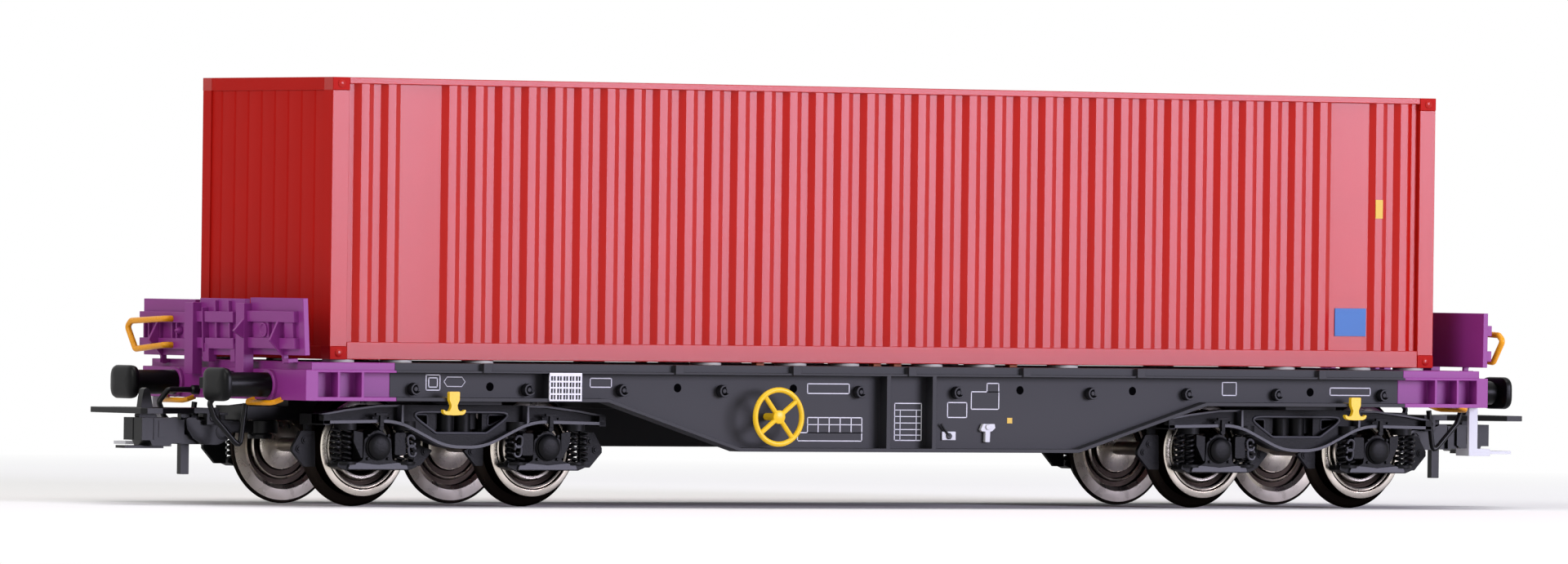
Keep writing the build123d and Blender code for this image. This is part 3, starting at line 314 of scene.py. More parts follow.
# %% Finish the frame's solids
FINISH_OF_SLOT = {
    "anthracite_plastic": anthracite_paint, "purple_plastic": purple_paint, "black_plastic": black_styrene,
    "yellow_plastic": yellow_enamel, "silver_paint": silver_paint, "nickel": bright_nickel,
    "steel_axle": axle_steel, "container_red": red_abs, "white_print": white_ink, "pad_grey": grey_pad,
    "orange_plastic": orange_abs, "bogie_black": grainy_styrene,
}
FINISH_OF_NODE = {"flap_handles": amber_enamel, "end_rails": matt_red_abs}
EDGE_ROUND, WELD_REACH = 0.06, 0.002
WIDE_EDGES = {"side_sill_near": 0.13, "side_sill_far": 0.13}


def round_edges(piece, width_mm=EDGE_ROUND, angle=30, weld=False, segments=2):
    if weld:
        piece.modifiers.new("weld", "WELD").merge_threshold = WELD_REACH * MM
    bevel = piece.modifiers.new("edge_round", "BEVEL")
    bevel.width = width_mm * MM
    bevel.segments = segments
    bevel.limit_method = "ANGLE"
    bevel.angle_limit = math.radians(angle)
    bevel.harden_normals = True


for part in frame["record"]["subparts"]:
    node = frame["nodes"][part["node"]]
    node.data.materials.clear()
    node.data.materials.append(FINISH_OF_NODE.get(part["node"], FINISH_OF_SLOT[part["material_slot"]]))
    round_edges(node, WIDE_EDGES.get(part["node"], EDGE_ROUND), weld=True)
print("solids finished", len(frame["nodes"]))

# %% [markdown]
# The small pieces are built from a handful of plain forms. `Form` collects them in millimetres: a
# box, an outline pushed along an axis, a plate with openings, a turned profile, and a round bar along
# a path. A form can be moved, turned or mirrored, and then becomes one Blender object that rides on a
# body. Where a piece stands in for a solid, it names the solid that it replaces.

# %% Form builder
AXES = {"X": (1, 2, 0), "Y": (0, 2, 1), "Z": (0, 1, 2)}
ROUND_STEPS = 40


def place_on(axis, a, b, along):
    spot = [0.0, 0.0, 0.0]
    for slot, value in zip(AXES[axis], (a, b, along)):
        spot[slot] = value
    return spot


def ring_faces(rings, count):
    """Faces that join rings of equal point counts and close both ends."""
    faces = []
    for first in range(0, (rings - 1) * count, count):
        for i in range(count):
            j = (i + 1) % count
            faces.append((first + i, first + j, first + count + j, first + count + i))
    return faces + [range(count)[::-1], range((rings - 1) * count, rings * count)]


class Form:
    def __init__(self):
        self.points = []
        self.faces = []

    def add(self, points, faces):
        first = len(self.points)
        self.points += [Vector(p) for p in points]
        self.faces += [[first + i for i in face] for face in faces]
        return self

    def box(self, x, y, z):
        return self.prism([(x[0], z[0]), (x[1], z[0]), (x[1], z[1]), (x[0], z[1])], *y)

    def prism(self, outline, low, high, axis="Y"):
        points = [place_on(axis, a, b, at) for at in (low, high) for a, b in outline]
        return self.add(points, ring_faces(2, len(outline)))

    def plate(self, outline, holes, low, high, axis="Y"):
        """A flat plate with openings, cut into triangles."""
        loops = [outline] + list(holes)
        flat = [p for loop in loops for p in loop]
        corners = tessellate_polygon([[Vector((a, b, 0)) for a, b in loop] for loop in loops])
        count = len(flat)
        faces = [tuple(c) for c in corners] + [tuple(count + i for i in reversed(c)) for c in corners]
        first = 0
        for loop in loops:
            size = len(loop)
            for i in range(size):
                j = (i + 1) % size
                faces.append((first + i, first + j, count + first + j, count + first + i))
            first += size
        return self.add([place_on(axis, a, b, at) for at in (low, high) for a, b in flat], faces)

    def lathe(self, profile, centre, axis="Y", steps=ROUND_STEPS):
        points = []
        for radius, along in profile:
            for i in range(steps):
                angle = 2 * math.pi * i / steps
                spot = place_on(axis, radius * math.cos(angle), radius * math.sin(angle), along)
                points.append([c + s for c, s in zip(centre, spot)])
        return self.add(points, ring_faces(len(profile), steps))

    def bar(self, path, radius, sides=10):
        path = [Vector(p) for p in path]
        points = []
        side = None
        for i, spot in enumerate(path):
            way = (path[min(i + 1, len(path) - 1)] - path[max(i - 1, 0)]).normalized()
            if side is None:
                side = way.orthogonal()
            side = (side - way * side.dot(way)).normalized()
            up = way.cross(side)
            turns = [2 * math.pi * k / sides for k in range(sides)]
            points += [spot + (side * math.cos(a) + up * math.sin(a)) * radius for a in turns]
        return self.add(points, ring_faces(len(path), sides))

    def join(self, other, change=None):
        flipped = change is not None and change.determinant() < 0
        points = [change @ p if change else p for p in other.points]
        return self.add(points, [face[::-1] if flipped else face for face in other.faces])

    def turned(self):
        """The form after half a turn of the wagon, which swaps its ends and its sides."""
        return Form().join(self, Matrix.Rotation(math.pi, 4, "Z"))

    def with_half_turn(self):
        return Form().join(self).join(self.turned())

    def with_mirror(self):
        """The form and its mirror image on the wagon's other side."""
        return Form().join(self).join(self, Matrix.Diagonal((1.0, -1.0, 1.0, 1.0)))

    def moved(self, x):
        return Form().join(self, Matrix.Translation((x, 0, 0)))

    def piece(self, name, body, slot, replaces=(), round_mm=0.04, finish=None, origin=(0, 0, 0), smooth=38,
              segments=2):
        mesh = bpy.data.meshes.new(name)
        start = Vector(origin)
        mesh.from_pydata([(p - start) * MM for p in self.points], [], [list(face) for face in self.faces])
        bm = bmesh.new()
        bm.from_mesh(mesh)
        bmesh.ops.recalc_face_normals(bm, faces=bm.faces)
        bm.to_mesh(mesh)
        bm.free()
        mesh.shade_smooth()
        mesh.set_sharp_from_angle(angle=math.radians(smooth))
        mesh.materials.append(finish or FINISH_OF_SLOT[slot])
        thing = bpy.data.objects.new(name, mesh)
        thing.location = start * MM
        bpy.context.scene.collection.objects.link(thing)
        if round_mm:
            round_edges(thing, round_mm, smooth, segments=segments)
        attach(thing, body)
        if replaces:
            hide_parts(*replaces)
        return thing


def rounded(outline, radius, steps=3, closed=True):
    """The same outline with each corner cut back into a short arc."""
    count = len(outline)
    result = []
    for i, (x, y) in enumerate(outline):
        here = Vector((x, y))
        if not closed and i in (0, count - 1):
            result.append((x, y))
            continue
        before, after = Vector(outline[i - 1]), Vector(outline[(i + 1) % count])
        room = min((before - here).length, (after - here).length) / 2
        way_in, way_out = (before - here).normalized(), (after - here).normalized()
        half = math.acos(max(-1.0, min(1.0, way_in.dot(way_out)))) / 2
        cut = min(room * 0.98, radius / max(math.tan(half), 0.01))
        start, end = here + way_in * cut, here + way_out * cut
        for k in range(steps + 1):
            t = k / steps
            result.append(tuple(start * (1 - t) ** 2 + here * 2 * t * (1 - t) + end * t ** 2))
    return result


def at_both_ends(form, base, body, slot, replaces="", **settings):
    """A form drawn at the right end, and turned round for the left one: a piece for each."""
    for name, whole in (("right", form), ("left", form.turned())):
        taken = (f"{replaces}_{name}",) if replaces else ()
        whole.piece(f"{base}_{name}", body.format(name), slot, taken, **settings)


def on_frame(form, name, slot, replaces=(), **settings):
    """A form on the frame's near side, and again on its far side after half a turn."""
    form.with_half_turn().piece(name, "frame", slot, replaces, **settings)


print("forms are built in millimetres, and scaled by", MM)

# %% [markdown]
# The container is a 40 ft box at 1:87. Its side sheets are folded: narrow outer flats stand at an even
# pitch before a deeper floor, and two places near the ends stay flat for plates. A moulded fold is
# never knife-sharp, so each corner of the sheet's outline is rounded by a tenth of a millimetre. That
# gives every rib the thin bright and dark lines that one sees on it.

# %% Container skin
BOX_HALF_L, BOX_HALF_W = 70.069, 14.0115
BOX_LOW, BOX_TOP = 15.6, 45.382
BOTTOM_RAIL, TOP_RAIL = 1.862, 0.69
SHEET_Y, SHEET_DEPTH, SHEET_T = 13.9115, 0.368, 0.6
CASTING_L, CASTING_W, CASTING_H = 2.046, 1.862, 1.356
PITCH, OUTER_FLAT, SLOPE, FOLD_R = 3.256, 0.97, 0.70, 0.12
FLAT_COUNT, FLAT_PAST_PLATE = 35, 62.76
WALL_END = BOX_HALF_L - CASTING_L
FLOOR_Y = SHEET_Y - SHEET_DEPTH
INNER_Y = FLOOR_Y - SHEET_T


def fold_line(middles, half, floor_half, outer, depth):
    line = []
    for mid in middles:
        line += [(mid - half, outer), (mid - floor_half, outer - depth),
                 (mid + floor_half, outer - depth), (mid + half, outer)]
    return line


def on_container(form, name, replaces=(), round_mm=0.0, finish=red_abs, slot="container_red"):
    form.piece(name, "container", slot, replaces, round_mm, finish)


past_plate = [FLAT_PAST_PLATE, FLAT_PAST_PLATE + PITCH]
flats = [-x for x in reversed(past_plate)]
flats += [(i - FLAT_COUNT // 2) * PITCH for i in range(FLAT_COUNT)] + past_plate
side_line = fold_line(flats, OUTER_FLAT / 2 + SLOPE, OUTER_FLAT / 2, FLOOR_Y, -SHEET_DEPTH)
side_line = rounded([(-WALL_END, FLOOR_Y)] + side_line + [(WALL_END, FLOOR_Y)], FOLD_R, closed=False)
side_line += [(WALL_END, INNER_Y), (-WALL_END, INNER_Y)]
for name, side in (("near", -1), ("far", 1)):
    sheet = Form().prism([(x, side * y) for x, y in side_line], BOX_LOW + BOTTOM_RAIL, BOX_TOP - TOP_RAIL,
                         axis="Z")
    on_container(sheet, f"side_sheet_{name}", (f"container_side_{name}",))
    rails = Form()
    for span in ((BOX_LOW, BOX_LOW + BOTTOM_RAIL), (BOX_TOP - TOP_RAIL, BOX_TOP)):
        rails.box((-WALL_END, WALL_END), (side * BOX_HALF_W, side * INNER_Y), span)
    on_container(rails, f"side_rails_{name}", round_mm=0.09)
for colour, finish, x, face_y, stands, z in (
        ("blue", blue_plate, (57.3, 61.4), FLOOR_Y, 0.1, (19.03, 22.09)),
        ("yellow", yellow_plate, (62.3, 63.25), SHEET_Y, 0.06, (32.02, 34.09))):
    plates = Form().box(x, (-face_y - stands, -face_y + 0.05), z).with_half_turn()
    on_container(plates, f"{colour}_side_plates", round_mm=0.02, finish=finish)
print("outer flats a side", len(flats))

# %% [markdown]
# The front wall is nearly flat, with eight shallow folds that show as thin lines. It came out of a
# duller part of the mould than the sides, and so did the corner castings. Their openings are closed by
# a round boss in this model, which shines like the sides.

# %% Front wall and corner castings
FRONT_X, FRONT_PITCH, FRONT_FOLDS, FRONT_T = 69.919, 2.8736, 8, 1.0
FRONT_HALF, FRONT_FLOOR, FRONT_DEPTH, FRONT_R = 0.25, 0.1, 0.1, 0.03
END_RAIL, END_HALF_W = 1.379, BOX_HALF_W - CASTING_W
CASTING_FACE_Y, BOSS_R = -BOX_HALF_W - 0.07, 0.42

front_line = fold_line([(i - (FRONT_FOLDS - 1) / 2) * FRONT_PITCH for i in range(FRONT_FOLDS)], FRONT_HALF,
                       FRONT_FLOOR, FRONT_X, FRONT_DEPTH)
front_line = rounded([(-END_HALF_W, FRONT_X)] + front_line + [(END_HALF_W, FRONT_X)], FRONT_R, closed=False)
front_line += [(END_HALF_W, FRONT_X - FRONT_T), (-END_HALF_W, FRONT_X - FRONT_T)]
front = Form().prism([(-x, y) for y, x in front_line], BOX_LOW + END_RAIL, BOX_TOP - END_RAIL, axis="Z")
on_container(front, "front_sheet", ("front_wall",), finish=matt_red_abs)

casting_faces = Form()
bosses = Form()
for x in (-WALL_END - CASTING_L, WALL_END):
    for z in (BOX_LOW, BOX_TOP - CASTING_H):
        casting_faces.box((x, x + CASTING_L), (CASTING_FACE_Y, -BOX_HALF_W + 0.02), (z, z + CASTING_H))
        bosses.lathe([(BOSS_R, CASTING_FACE_Y + 0.02), (BOSS_R, CASTING_FACE_Y - 0.05),
                      (BOSS_R - 0.1, CASTING_FACE_Y - 0.12), (0.02, CASTING_FACE_Y - 0.13)],
                     (x + CASTING_L / 2, 0, z + CASTING_H / 2), steps=24)
post_ends = Form().box((-BOX_HALF_L - 0.03, -BOX_HALF_L + 0.05), (-BOX_HALF_W + 0.08, -END_HALF_W),
                       (BOX_LOW + CASTING_H, BOX_TOP - CASTING_H))
on_container(post_ends.with_mirror(), "post_end_faces", finish=matt_red_abs)
on_container(casting_faces.with_mirror(), "casting_faces", round_mm=0.05, finish=matt_red_abs)
on_container(bosses.with_mirror(), "casting_bosses")
print("front folds", FRONT_FOLDS)

# %% [markdown]
# The roof has many fine folds across its width, and its sheet lies between the side sheets. The two
# door leaves keep their solids and gain hinges, gaskets, cam keepers and bar handles, as a container
# has at its door end.

# %% Roof and doors
ROOF_Z, ROOF_DEPTH, ROOF_PITCH, ROOF_T = BOX_TOP - 0.1, 0.23, 2.4023, 0.5
ROOF_HALF, ROOF_FLOOR, ROOF_R = 0.7, 0.4, 0.1
DOOR_X, HINGE_COUNT, HINGE_PITCH, HANDLE_LENGTH = BOX_HALF_L - 0.5, 4, 7.1, 2.2

roof_count = int(2 * WALL_END / ROOF_PITCH)
roof_line = fold_line([(i - (roof_count - 1) / 2) * ROOF_PITCH for i in range(roof_count)], ROOF_HALF,
                      ROOF_FLOOR, ROOF_Z, ROOF_DEPTH)
roof_line = rounded([(-WALL_END, ROOF_Z)] + roof_line + [(WALL_END, ROOF_Z)], ROOF_R, 2, closed=False)
roof_back = ROOF_Z - ROOF_DEPTH - ROOF_T
roof_line += [(WALL_END, roof_back), (-WALL_END, roof_back)]
on_container(Form().prism(roof_line, -INNER_Y, INNER_Y), "roof_sheet", ("container_roof",))

fittings = Form()
for side in (-1, 1):
    hinge_y = sorted((side * (END_HALF_W - 1.7), side * (END_HALF_W + 0.4)))
    for hinge in range(HINGE_COUNT):
        z = BOX_LOW + 4.2 + hinge * HINGE_PITCH
        fittings.box((DOOR_X - 0.1, DOOR_X + 0.22), hinge_y, (z - 0.45, z + 0.45))
    for bar_y in (2.9, 8.6):
        y = side * bar_y
        for z in (BOX_LOW + 2.6, BOX_LOW + 9.5, BOX_LOW + 20.3, BOX_TOP - 2.6):
            fittings.box((DOOR_X - 0.05, DOOR_X + 0.46), (y - 0.5, y + 0.5), (z - 0.22, z + 0.22))
        z = BOX_LOW + 12.2
        grip_y = y - side * HANDLE_LENGTH
        fittings.bar([(DOOR_X + 0.34, y, z + 0.3), (DOOR_X + 0.34, grip_y, z - 0.4)], 0.15, 8)
        fittings.box((DOOR_X - 0.05, DOOR_X + 0.4), (grip_y - 0.3, grip_y + 0.3), (z - 0.7, z + 0.1))
on_container(fittings, "door_fittings", round_mm=0.05)
seals = Form()
for y in (-END_HALF_W + 0.35, -0.3, 0.3, END_HALF_W - 0.35):
    seals.box((DOOR_X - 0.02, DOOR_X + 0.08), (y - 0.16, y + 0.16),
              (BOX_LOW + END_RAIL + 0.1, BOX_TOP - END_RAIL - 0.1))
on_container(seals, "door_seals", round_mm=0.03, finish=black_styrene, slot="black_plastic")
print("roof folds", roof_count)

# %% [markdown]
# The wheels are turned: a rounded flange, a tread with a slight cone, a broad bright rim, a groove, and
# a dished web with raised rings. The tread and the hollows get a dark nickel, a painted shade for the
# dark reflections there, and only the raised faces are bright. Each pair is one object whose origin is
# its axle, so that the turning marks of its finish run round the right point.

# %% Wheels
AXLE_Z, TREAD_R = 6.285, 5.285
PIVOT_X, WHEELBASE = 53.1, 20.8
AXLE_DXS = (-WHEELBASE / 2, WHEELBASE / 2)
INNER_FACE = [(0.7, 7.25), (2.5, 7.52), (2.66, 7.62), (2.78, 7.95), (3.3, 7.95), (3.36, 7.64), (3.5, 7.5),
              (3.68, 7.64), (3.76, 7.95), (4.28, 7.95), (4.34, 7.5), (4.8, 7.2)]
FLANGE_AND_TREAD = [(5.95, 7.36), (6.2, 7.42), (6.285, 7.58), (6.2, 7.78), (5.86, 8.0), (5.5, 8.1),
                    (TREAD_R, 8.3), (5.23, 9.78)]
OUTER_FACE = [(5.17, 9.84), (5.0, 9.92), (4.56, 10.0), (4.5, 9.92), (4.46, 9.6), (4.38, 9.6), (4.33, 9.84),
              (4.2, 9.9), (4.08, 9.84), (4.0, 9.3), (3.6, 9.2), (3.52, 9.5), (3.3, 9.66), (3.05, 9.6),
              (2.92, 9.3), (2.5, 9.0), (2.2, 9.08), (2.02, 9.6), (1.86, 9.7), (1.2, 9.7), (1.1, 9.58),
              (0.7, 9.58)]
BRIGHT_RINGS = {"in": ((4.3, 5.9), (3.36, 3.72), (1.3, 2.6)),
                "out": ((4.52, 5.16), (4.08, 4.34), (2.96, 3.56))}


def stays_bright(middle, radius):
    if radius > 4.3 and 7.5 < abs(middle.y) < 8.4:
        return False
    rings = BRIGHT_RINGS["out" if abs(middle.y) > 8.4 else "in"]
    return any(low < radius < high for low, high in rings)


axle_places = [pivot + dx for pivot in (-PIVOT_X, PIVOT_X) for dx in AXLE_DXS]
for number, x in enumerate(axle_places, 1):
    pair = Form().lathe(INNER_FACE + FLANGE_AND_TREAD + OUTER_FACE, (x, 0, AXLE_Z), steps=112).with_mirror()
    wheels = pair.piece(f"wheel_pair_{number}", f"wheelset_{number}", "nickel", (f"wheels_{number}",), 0,
                        shaded_nickel, origin=(x, 0, AXLE_Z), smooth=40)
    # Raised faces take the bright nickel. All other faces keep the dark nickel, a painted shade.
    wheels.data.materials.append(bright_nickel)
    for face in wheels.data.polygons:
        middle = face.center / MM
        face.material_index = int(stays_bright(middle, math.hypot(middle.x, middle.z)))
print("wheel pairs", len(axle_places))

# %% [markdown]
# Each axlebox hangs in a pair of coil springs. The springs are wound from wire, two slim coils side
# by side at the outer seat and two at the inner seat, behind the chain shackle that hangs there.

# %% Springs
COIL_Y, COIL_LOW, COIL_HIGH, COIL_TURNS, COIL_STEPS = 12.3, 4.75, 8.2, 6, 20
OUTER_COILS, INNER_COILS = (3.5, 4.75), (3.0, 4.2)


def coil(x, radius, wire):
    path = []
    for i in range(COIL_TURNS * COIL_STEPS + 1):
        angle = 2 * math.pi * i / COIL_STEPS
        path.append((x + radius * math.cos(angle), -COIL_Y + radius * math.sin(angle),
                     COIL_LOW + (COIL_HIGH - COIL_LOW) * i / (COIL_TURNS * COIL_STEPS)))
    return Form().bar(path, wire, 8)


def on_bogies(form, base, replaces="", **settings):
    """A form on the right bogie's near side, copied to its far side and to the left bogie."""
    at_both_ends(form.with_mirror(), base, "bogie_{}", "black_plastic", replaces, **settings)


springs = Form()
for axle_dx in AXLE_DXS:
    outward = math.copysign(1, axle_dx)
    for dx in OUTER_COILS:
        springs.join(coil(PIVOT_X + axle_dx + outward * dx, 0.48, 0.16))
    for dx in INNER_COILS:
        springs.join(coil(PIVOT_X + axle_dx - outward * dx, 0.45, 0.15))
on_bogies(springs, "coil_springs", "springs", round_mm=0)
print("coils", 8 * len(axle_places))

# %% [markdown]
# The axlebox is a casting: an arched flange with four bolts round a crowned cover, a saddle that
# carries both spring seats, and above it a T-shaped hanger with an eye. The saddle's lip and the
# two links of the shackle are pieces of their own, in a paler grey that is a painted highlight.

# %% Axleboxes
BOX_IN_Y, BOX_OUT_Y, COVER_R, SEAT_DX = 10.7, 13.0, 1.34, 3.6
FLANGE = [(-3.1, 4.5), (-1.8, 5.0), (-1.62, 7.2), (-0.42, 8.15), (0.42, 8.15), (1.62, 7.2), (1.8, 5.0),
          (3.1, 4.5)]
SADDLE = [(-4.9, 4.3), (-4.7, 4.8), (4.7, 4.8), (4.9, 4.3), (3.9, 3.92), (-3.9, 3.92)]
LENS = [(-3.7, 4.0), (-3.45, 4.52), (-2.4, 4.72), (0, 4.5), (2.4, 4.72), (3.45, 4.52), (3.7, 4.0)]
WEDGE = [(1.75, 7.9), (2.9, 8.1), (2.9, 6.9), (2.0, 5.2), (1.75, 5.2)]
BLOCK = [(1.9, 5.5), (3.3, 5.5), (3.3, 7.9), (1.9, 7.9)]
LINK_R, LINK_WIRE, LINK_STEPS = 0.42, 0.13, 24

axleboxes, lip_highlights, links = Form(), Form(), Form()
for axle_dx in AXLE_DXS:
    x = PIVOT_X + axle_dx
    inward = -math.copysign(1, axle_dx)
    block = Form()
    block.prism(rounded(FLANGE, 0.35), -BOX_OUT_Y, -BOX_IN_Y)
    block.prism(rounded(SADDLE, 0.2), -BOX_OUT_Y + 0.1, -BOX_IN_Y)
    block.lathe([(COVER_R + 0.12, -12.9), (COVER_R + 0.12, -13.12), (COVER_R, -13.18), (COVER_R, -13.42),
                 (1.2, -13.56), (0.8, -13.66), (0.3, -13.7)], (0, 0, AXLE_Z + 0.1), steps=48)
    for bolt_x in (-1.22, 1.22):
        for bolt_z in (-1.15, 1.3):
            block.lathe([(0.17, -13.24), (0.17, -12.9)], (bolt_x, 0, AXLE_Z + bolt_z), steps=10)
    for seat in (-1, 1):
        block.lathe([(1.22, 4.5), (1.22, 4.82), (0.5, 4.86)], (seat * SEAT_DX, -COIL_Y, 0), axis="Z",
                    steps=28)
    block.box((-0.72, 0.72), (-13.85, -13.5), (9.7, 9.98))
    block.box((-0.24, 0.24), (-13.85, -13.5), (8.5, 9.8))
    for bolt_x in (-1.0, 1.0):
        block.lathe([(0.13, -13.7), (0.13, -13.3)], (bolt_x, 0, 9.45), steps=8)
    block.lathe([(0.3, -13.8), (0.3, -13.4)], (0, 0, 8.35), steps=16)
    block.prism([(-inward * a, b) for a, b in WEDGE], -12.9, -12.6)
    block.prism([(inward * a, b) for a, b in rounded(BLOCK, 0.25)], -13.3, -12.6)
    axleboxes.join(block.moved(x))
    lip_highlights.join(Form().prism(rounded(LENS, 0.15), -BOX_OUT_Y - 0.15, -BOX_OUT_Y + 0.2).moved(x))
    for low_z, high_z in ((5.4, 6.55), (6.4, 7.6)):
        ring = []
        for k in range(LINK_STEPS + 1):
            a = 2 * math.pi * k / LINK_STEPS
            spread = (high_z - low_z) / 2 - LINK_R
            z = (low_z + high_z) / 2 + LINK_R * math.sin(a) + math.copysign(spread, math.sin(a))
            ring.append((inward * (3.85 + LINK_R * math.cos(a) - 0.1 * (z - 6.5)), -13.45, z))
        links.join(Form().bar(ring, LINK_WIRE, 8).moved(x))
on_bogies(axleboxes, "axlebox_castings", "axleboxes", round_mm=0.05, finish=grainy_styrene)
# The saddle lips and the shackle links are in the paler grey: a painted highlight.
on_bogies(lip_highlights, "saddle_lips", round_mm=0.05, finish=highlight_styrene)
on_bogies(links, "spring_shackles", round_mm=0, finish=highlight_styrene)
print("axleboxes", 2 * len(axle_places))

# %% [markdown]
# The bogie's side frame is a pressed and welded shape in the real thing: a deep curved belly in the
# middle, a long arm to each axle, and a window with a recessed plate behind it. It is drawn as two
# flat layers with openings and two half-round posts in the recess. The rims that follow the belly, the
# windows and the arms are a paler piece, a painted highlight. The brake hangers stand behind, and a
# bolster joins the sides.

# %% Bogie sides
SIDE_IN_Y, RECESS_Y, WEB_OUT_Y, RIM_OUT_Y = 10.9, 11.75, 12.5, 13.5
BELLY_R, RIM_T, RIM_IN_Y = 8.0, 0.32, -WEB_OUT_Y + 0.1
HALF_TOP = [(7.65, 10.85), (10.3, 10.8), (14.3, 10.34), (17.3, 9.85)]
HALF_LOW = [(17.3, 8.8), (8.2, 8.97), (2.3, 6.24)]
WINDOW = [(-6.6, 10.12), (6.6, 10.12), (3.1, 7.86), (-3.1, 7.86)]
SMALL_WINDOW = rounded([(3.7, 9.82), (6.0, 9.82), (5.4, 9.3), (4.0, 8.7), (3.7, 8.7)], 0.3)
RECESS = [(-3.0, 9.95), (2.7, 9.95), (2.7, 8.0), (-3.0, 8.0)]
POST_XS, POST_R = (-1.05, 1.05), 0.92
BOLSTER_HALF, BOLSTER_LOW, PIN_R, PIN_TOP = 2.8, 8.25, 1.5, 13.45
OUTER_HANGER = [(16.3, 8.0), (18.0, 8.0), (18.2, 7.6), (19.0, 6.3), (19.0, 5.8), (17.5, 4.2), (16.2, 4.2)]
INNER_HANGER = [(3.4, 8.0), (4.3, 8.0), (4.3, 4.35), (3.4, 4.35), (1.9, 6.0), (3.4, 6.5)]
ARM_BLOCKS = (((16.5, 17.3), (-RIM_OUT_Y, -8.3), (8.66, 9.8)), ((16.4, 17.2), (-9.4, -8.9), (7.4, 9.3)),
              ((3.4, 4.3), (-SIDE_IN_Y, -9.8), (7.4, 8.0)))
HANGER_PINS = ((18.2, 6.1), (17.5, 7.0), (2.9, 5.85))


def flipped(outline, flip=-1):
    return [(flip * x, z) for x, z in outline]


def rim_round(form, outline, y, radius):
    loop = [(x, y, z) for x, z in outline]
    form.bar(loop + [loop[0]], radius, 8)


belly = rounded(HALF_LOW + [(-2.3, 6.24)], BELLY_R, 6, closed=False)[:-1]
belly += flipped(belly)[::-1]
outline = flipped(HALF_TOP)[::-1] + HALF_TOP + belly
sides = Form()
sides.plate(outline, [rounded(WINDOW, 0.6, 4)], -WEB_OUT_Y, -RECESS_Y)
sides.plate(outline, [SMALL_WINDOW, flipped(SMALL_WINDOW), RECESS], -RECESS_Y, -SIDE_IN_Y)
for post_x in POST_XS:
    sides.lathe([(POST_R, RECESS[2][1] - 0.1), (POST_R, RECESS[0][1] + 0.1)], (post_x, -SIDE_IN_Y + 0.05, 0),
                axis="Z")
rims = Form().prism(belly + [(x, z + RIM_T) for x, z in reversed(belly)], -RIM_OUT_Y, RIM_IN_Y)
rim_round(rims, rounded(WINDOW, 0.6, 5), -WEB_OUT_Y - 0.04, 0.14)
for flip in (-1, 1):
    rim_round(rims, flipped(SMALL_WINDOW, flip), -RECESS_Y - 0.03, 0.09)
    x = flip * 7.7
    rims.prism([(x - 0.14, 8.9), (x + 0.14, 8.9), (x + 0.1, 10.8), (x - 0.1, 10.8)], -RIM_OUT_Y, RIM_IN_Y)
    top_line = flipped(HALF_TOP, flip)
    rims.prism(top_line + [(a, b - 0.2) for a, b in reversed(top_line)], -13.0, RIM_IN_Y)
    for hanger in (OUTER_HANGER, INNER_HANGER):
        sides.prism(flipped(rounded(hanger, 0.15), flip), -9.9, -9.4)
    for span, y, z in ARM_BLOCKS:
        sides.box(sorted(flip * end for end in span), y, z)
    for x, z in HANGER_PINS:
        sides.lathe([(0.42, -10.0), (0.42, -9.9), (0.25, -9.9), (0.25, -10.12)], (flip * x, 0, z), steps=18)
    for axle_dx in AXLE_DXS:
        sides.lathe([(1.2, 8.15), (1.2, 9.1)], (axle_dx + flip * SEAT_DX, -COIL_Y, 0), axis="Z", steps=28)
sides.box((-BOLSTER_HALF, BOLSTER_HALF), (-SIDE_IN_Y, 0), (BOLSTER_LOW, 10.85))
sides.lathe([(PIN_R, 10.5), (PIN_R, PIN_TOP)], (0, 0, 0), axis="Z")
on_bogies(sides.moved(PIVOT_X), "bogie_sides", "bogie_frame", round_mm=0.05, finish=grainy_styrene)
# The rims are in the paler grey: a painted highlight on the edges that catch the light.
on_bogies(rims.moved(PIVOT_X), "bogie_rims", round_mm=0.05, finish=highlight_styrene)
print("rim corners", len(belly))

# %% [markdown]
# Each end of the wagon has three panels that fold flat on the real wagon. Each leans outward by its own
# angle, from half a degree to three, and the one with the handles hangs a little lower. They stand
# clear of the deck on narrow feet, and are stiffened by two bars, pockets and thin triangular fins.
# They are drawn at the right end and turned round for the left one.

# %% End flaps
FLAP_X, FLAP_T = 75.0, 0.6
FLAP_BACK = FLAP_X - 0.05
FLAP_LOW, FLAP_TOP, DECK_Z = 16.0, 22.0, 15.3
OUTER_Y, OUTER_W, MID_W = 11.85, 11.3, 9.8
BAR_ZS, BAR_H, BAR_OUT = (17.26, 20.06), 1.15, 0.6
MIDDLE_Z = sum(BAR_ZS) / 2
POCKET = (BAR_ZS[0] + BAR_H / 2 - 0.02, BAR_ZS[1] - BAR_H / 2 + 0.02)
GAP_FIN = [(FLAP_X - 1.3, FLAP_TOP - 0.9), (FLAP_X - 0.1, FLAP_TOP - 0.9), (FLAP_X + 2.4, MIDDLE_Z - 0.2),
           (FLAP_X + 0.8, BAR_ZS[0] + 0.2), (FLAP_X - 1.3, BAR_ZS[0] + 0.2)]


def flap(y, width, stretches):
    """A flap's sheet with two cross bars, the bars in the given stretches of Y."""
    form = Form().box((FLAP_X - FLAP_T, FLAP_X), (y - width / 2, y + width / 2), (FLAP_LOW, FLAP_TOP))
    for z in BAR_ZS:
        for span in stretches:
            form.box((FLAP_BACK, FLAP_X + BAR_OUT), span, (z - BAR_H / 2, z + BAR_H / 2))
    return form


def ribs(form, places, half, out, heights):
    for y in places:
        form.box((FLAP_BACK, FLAP_X + out), (y - half, y + half), heights)


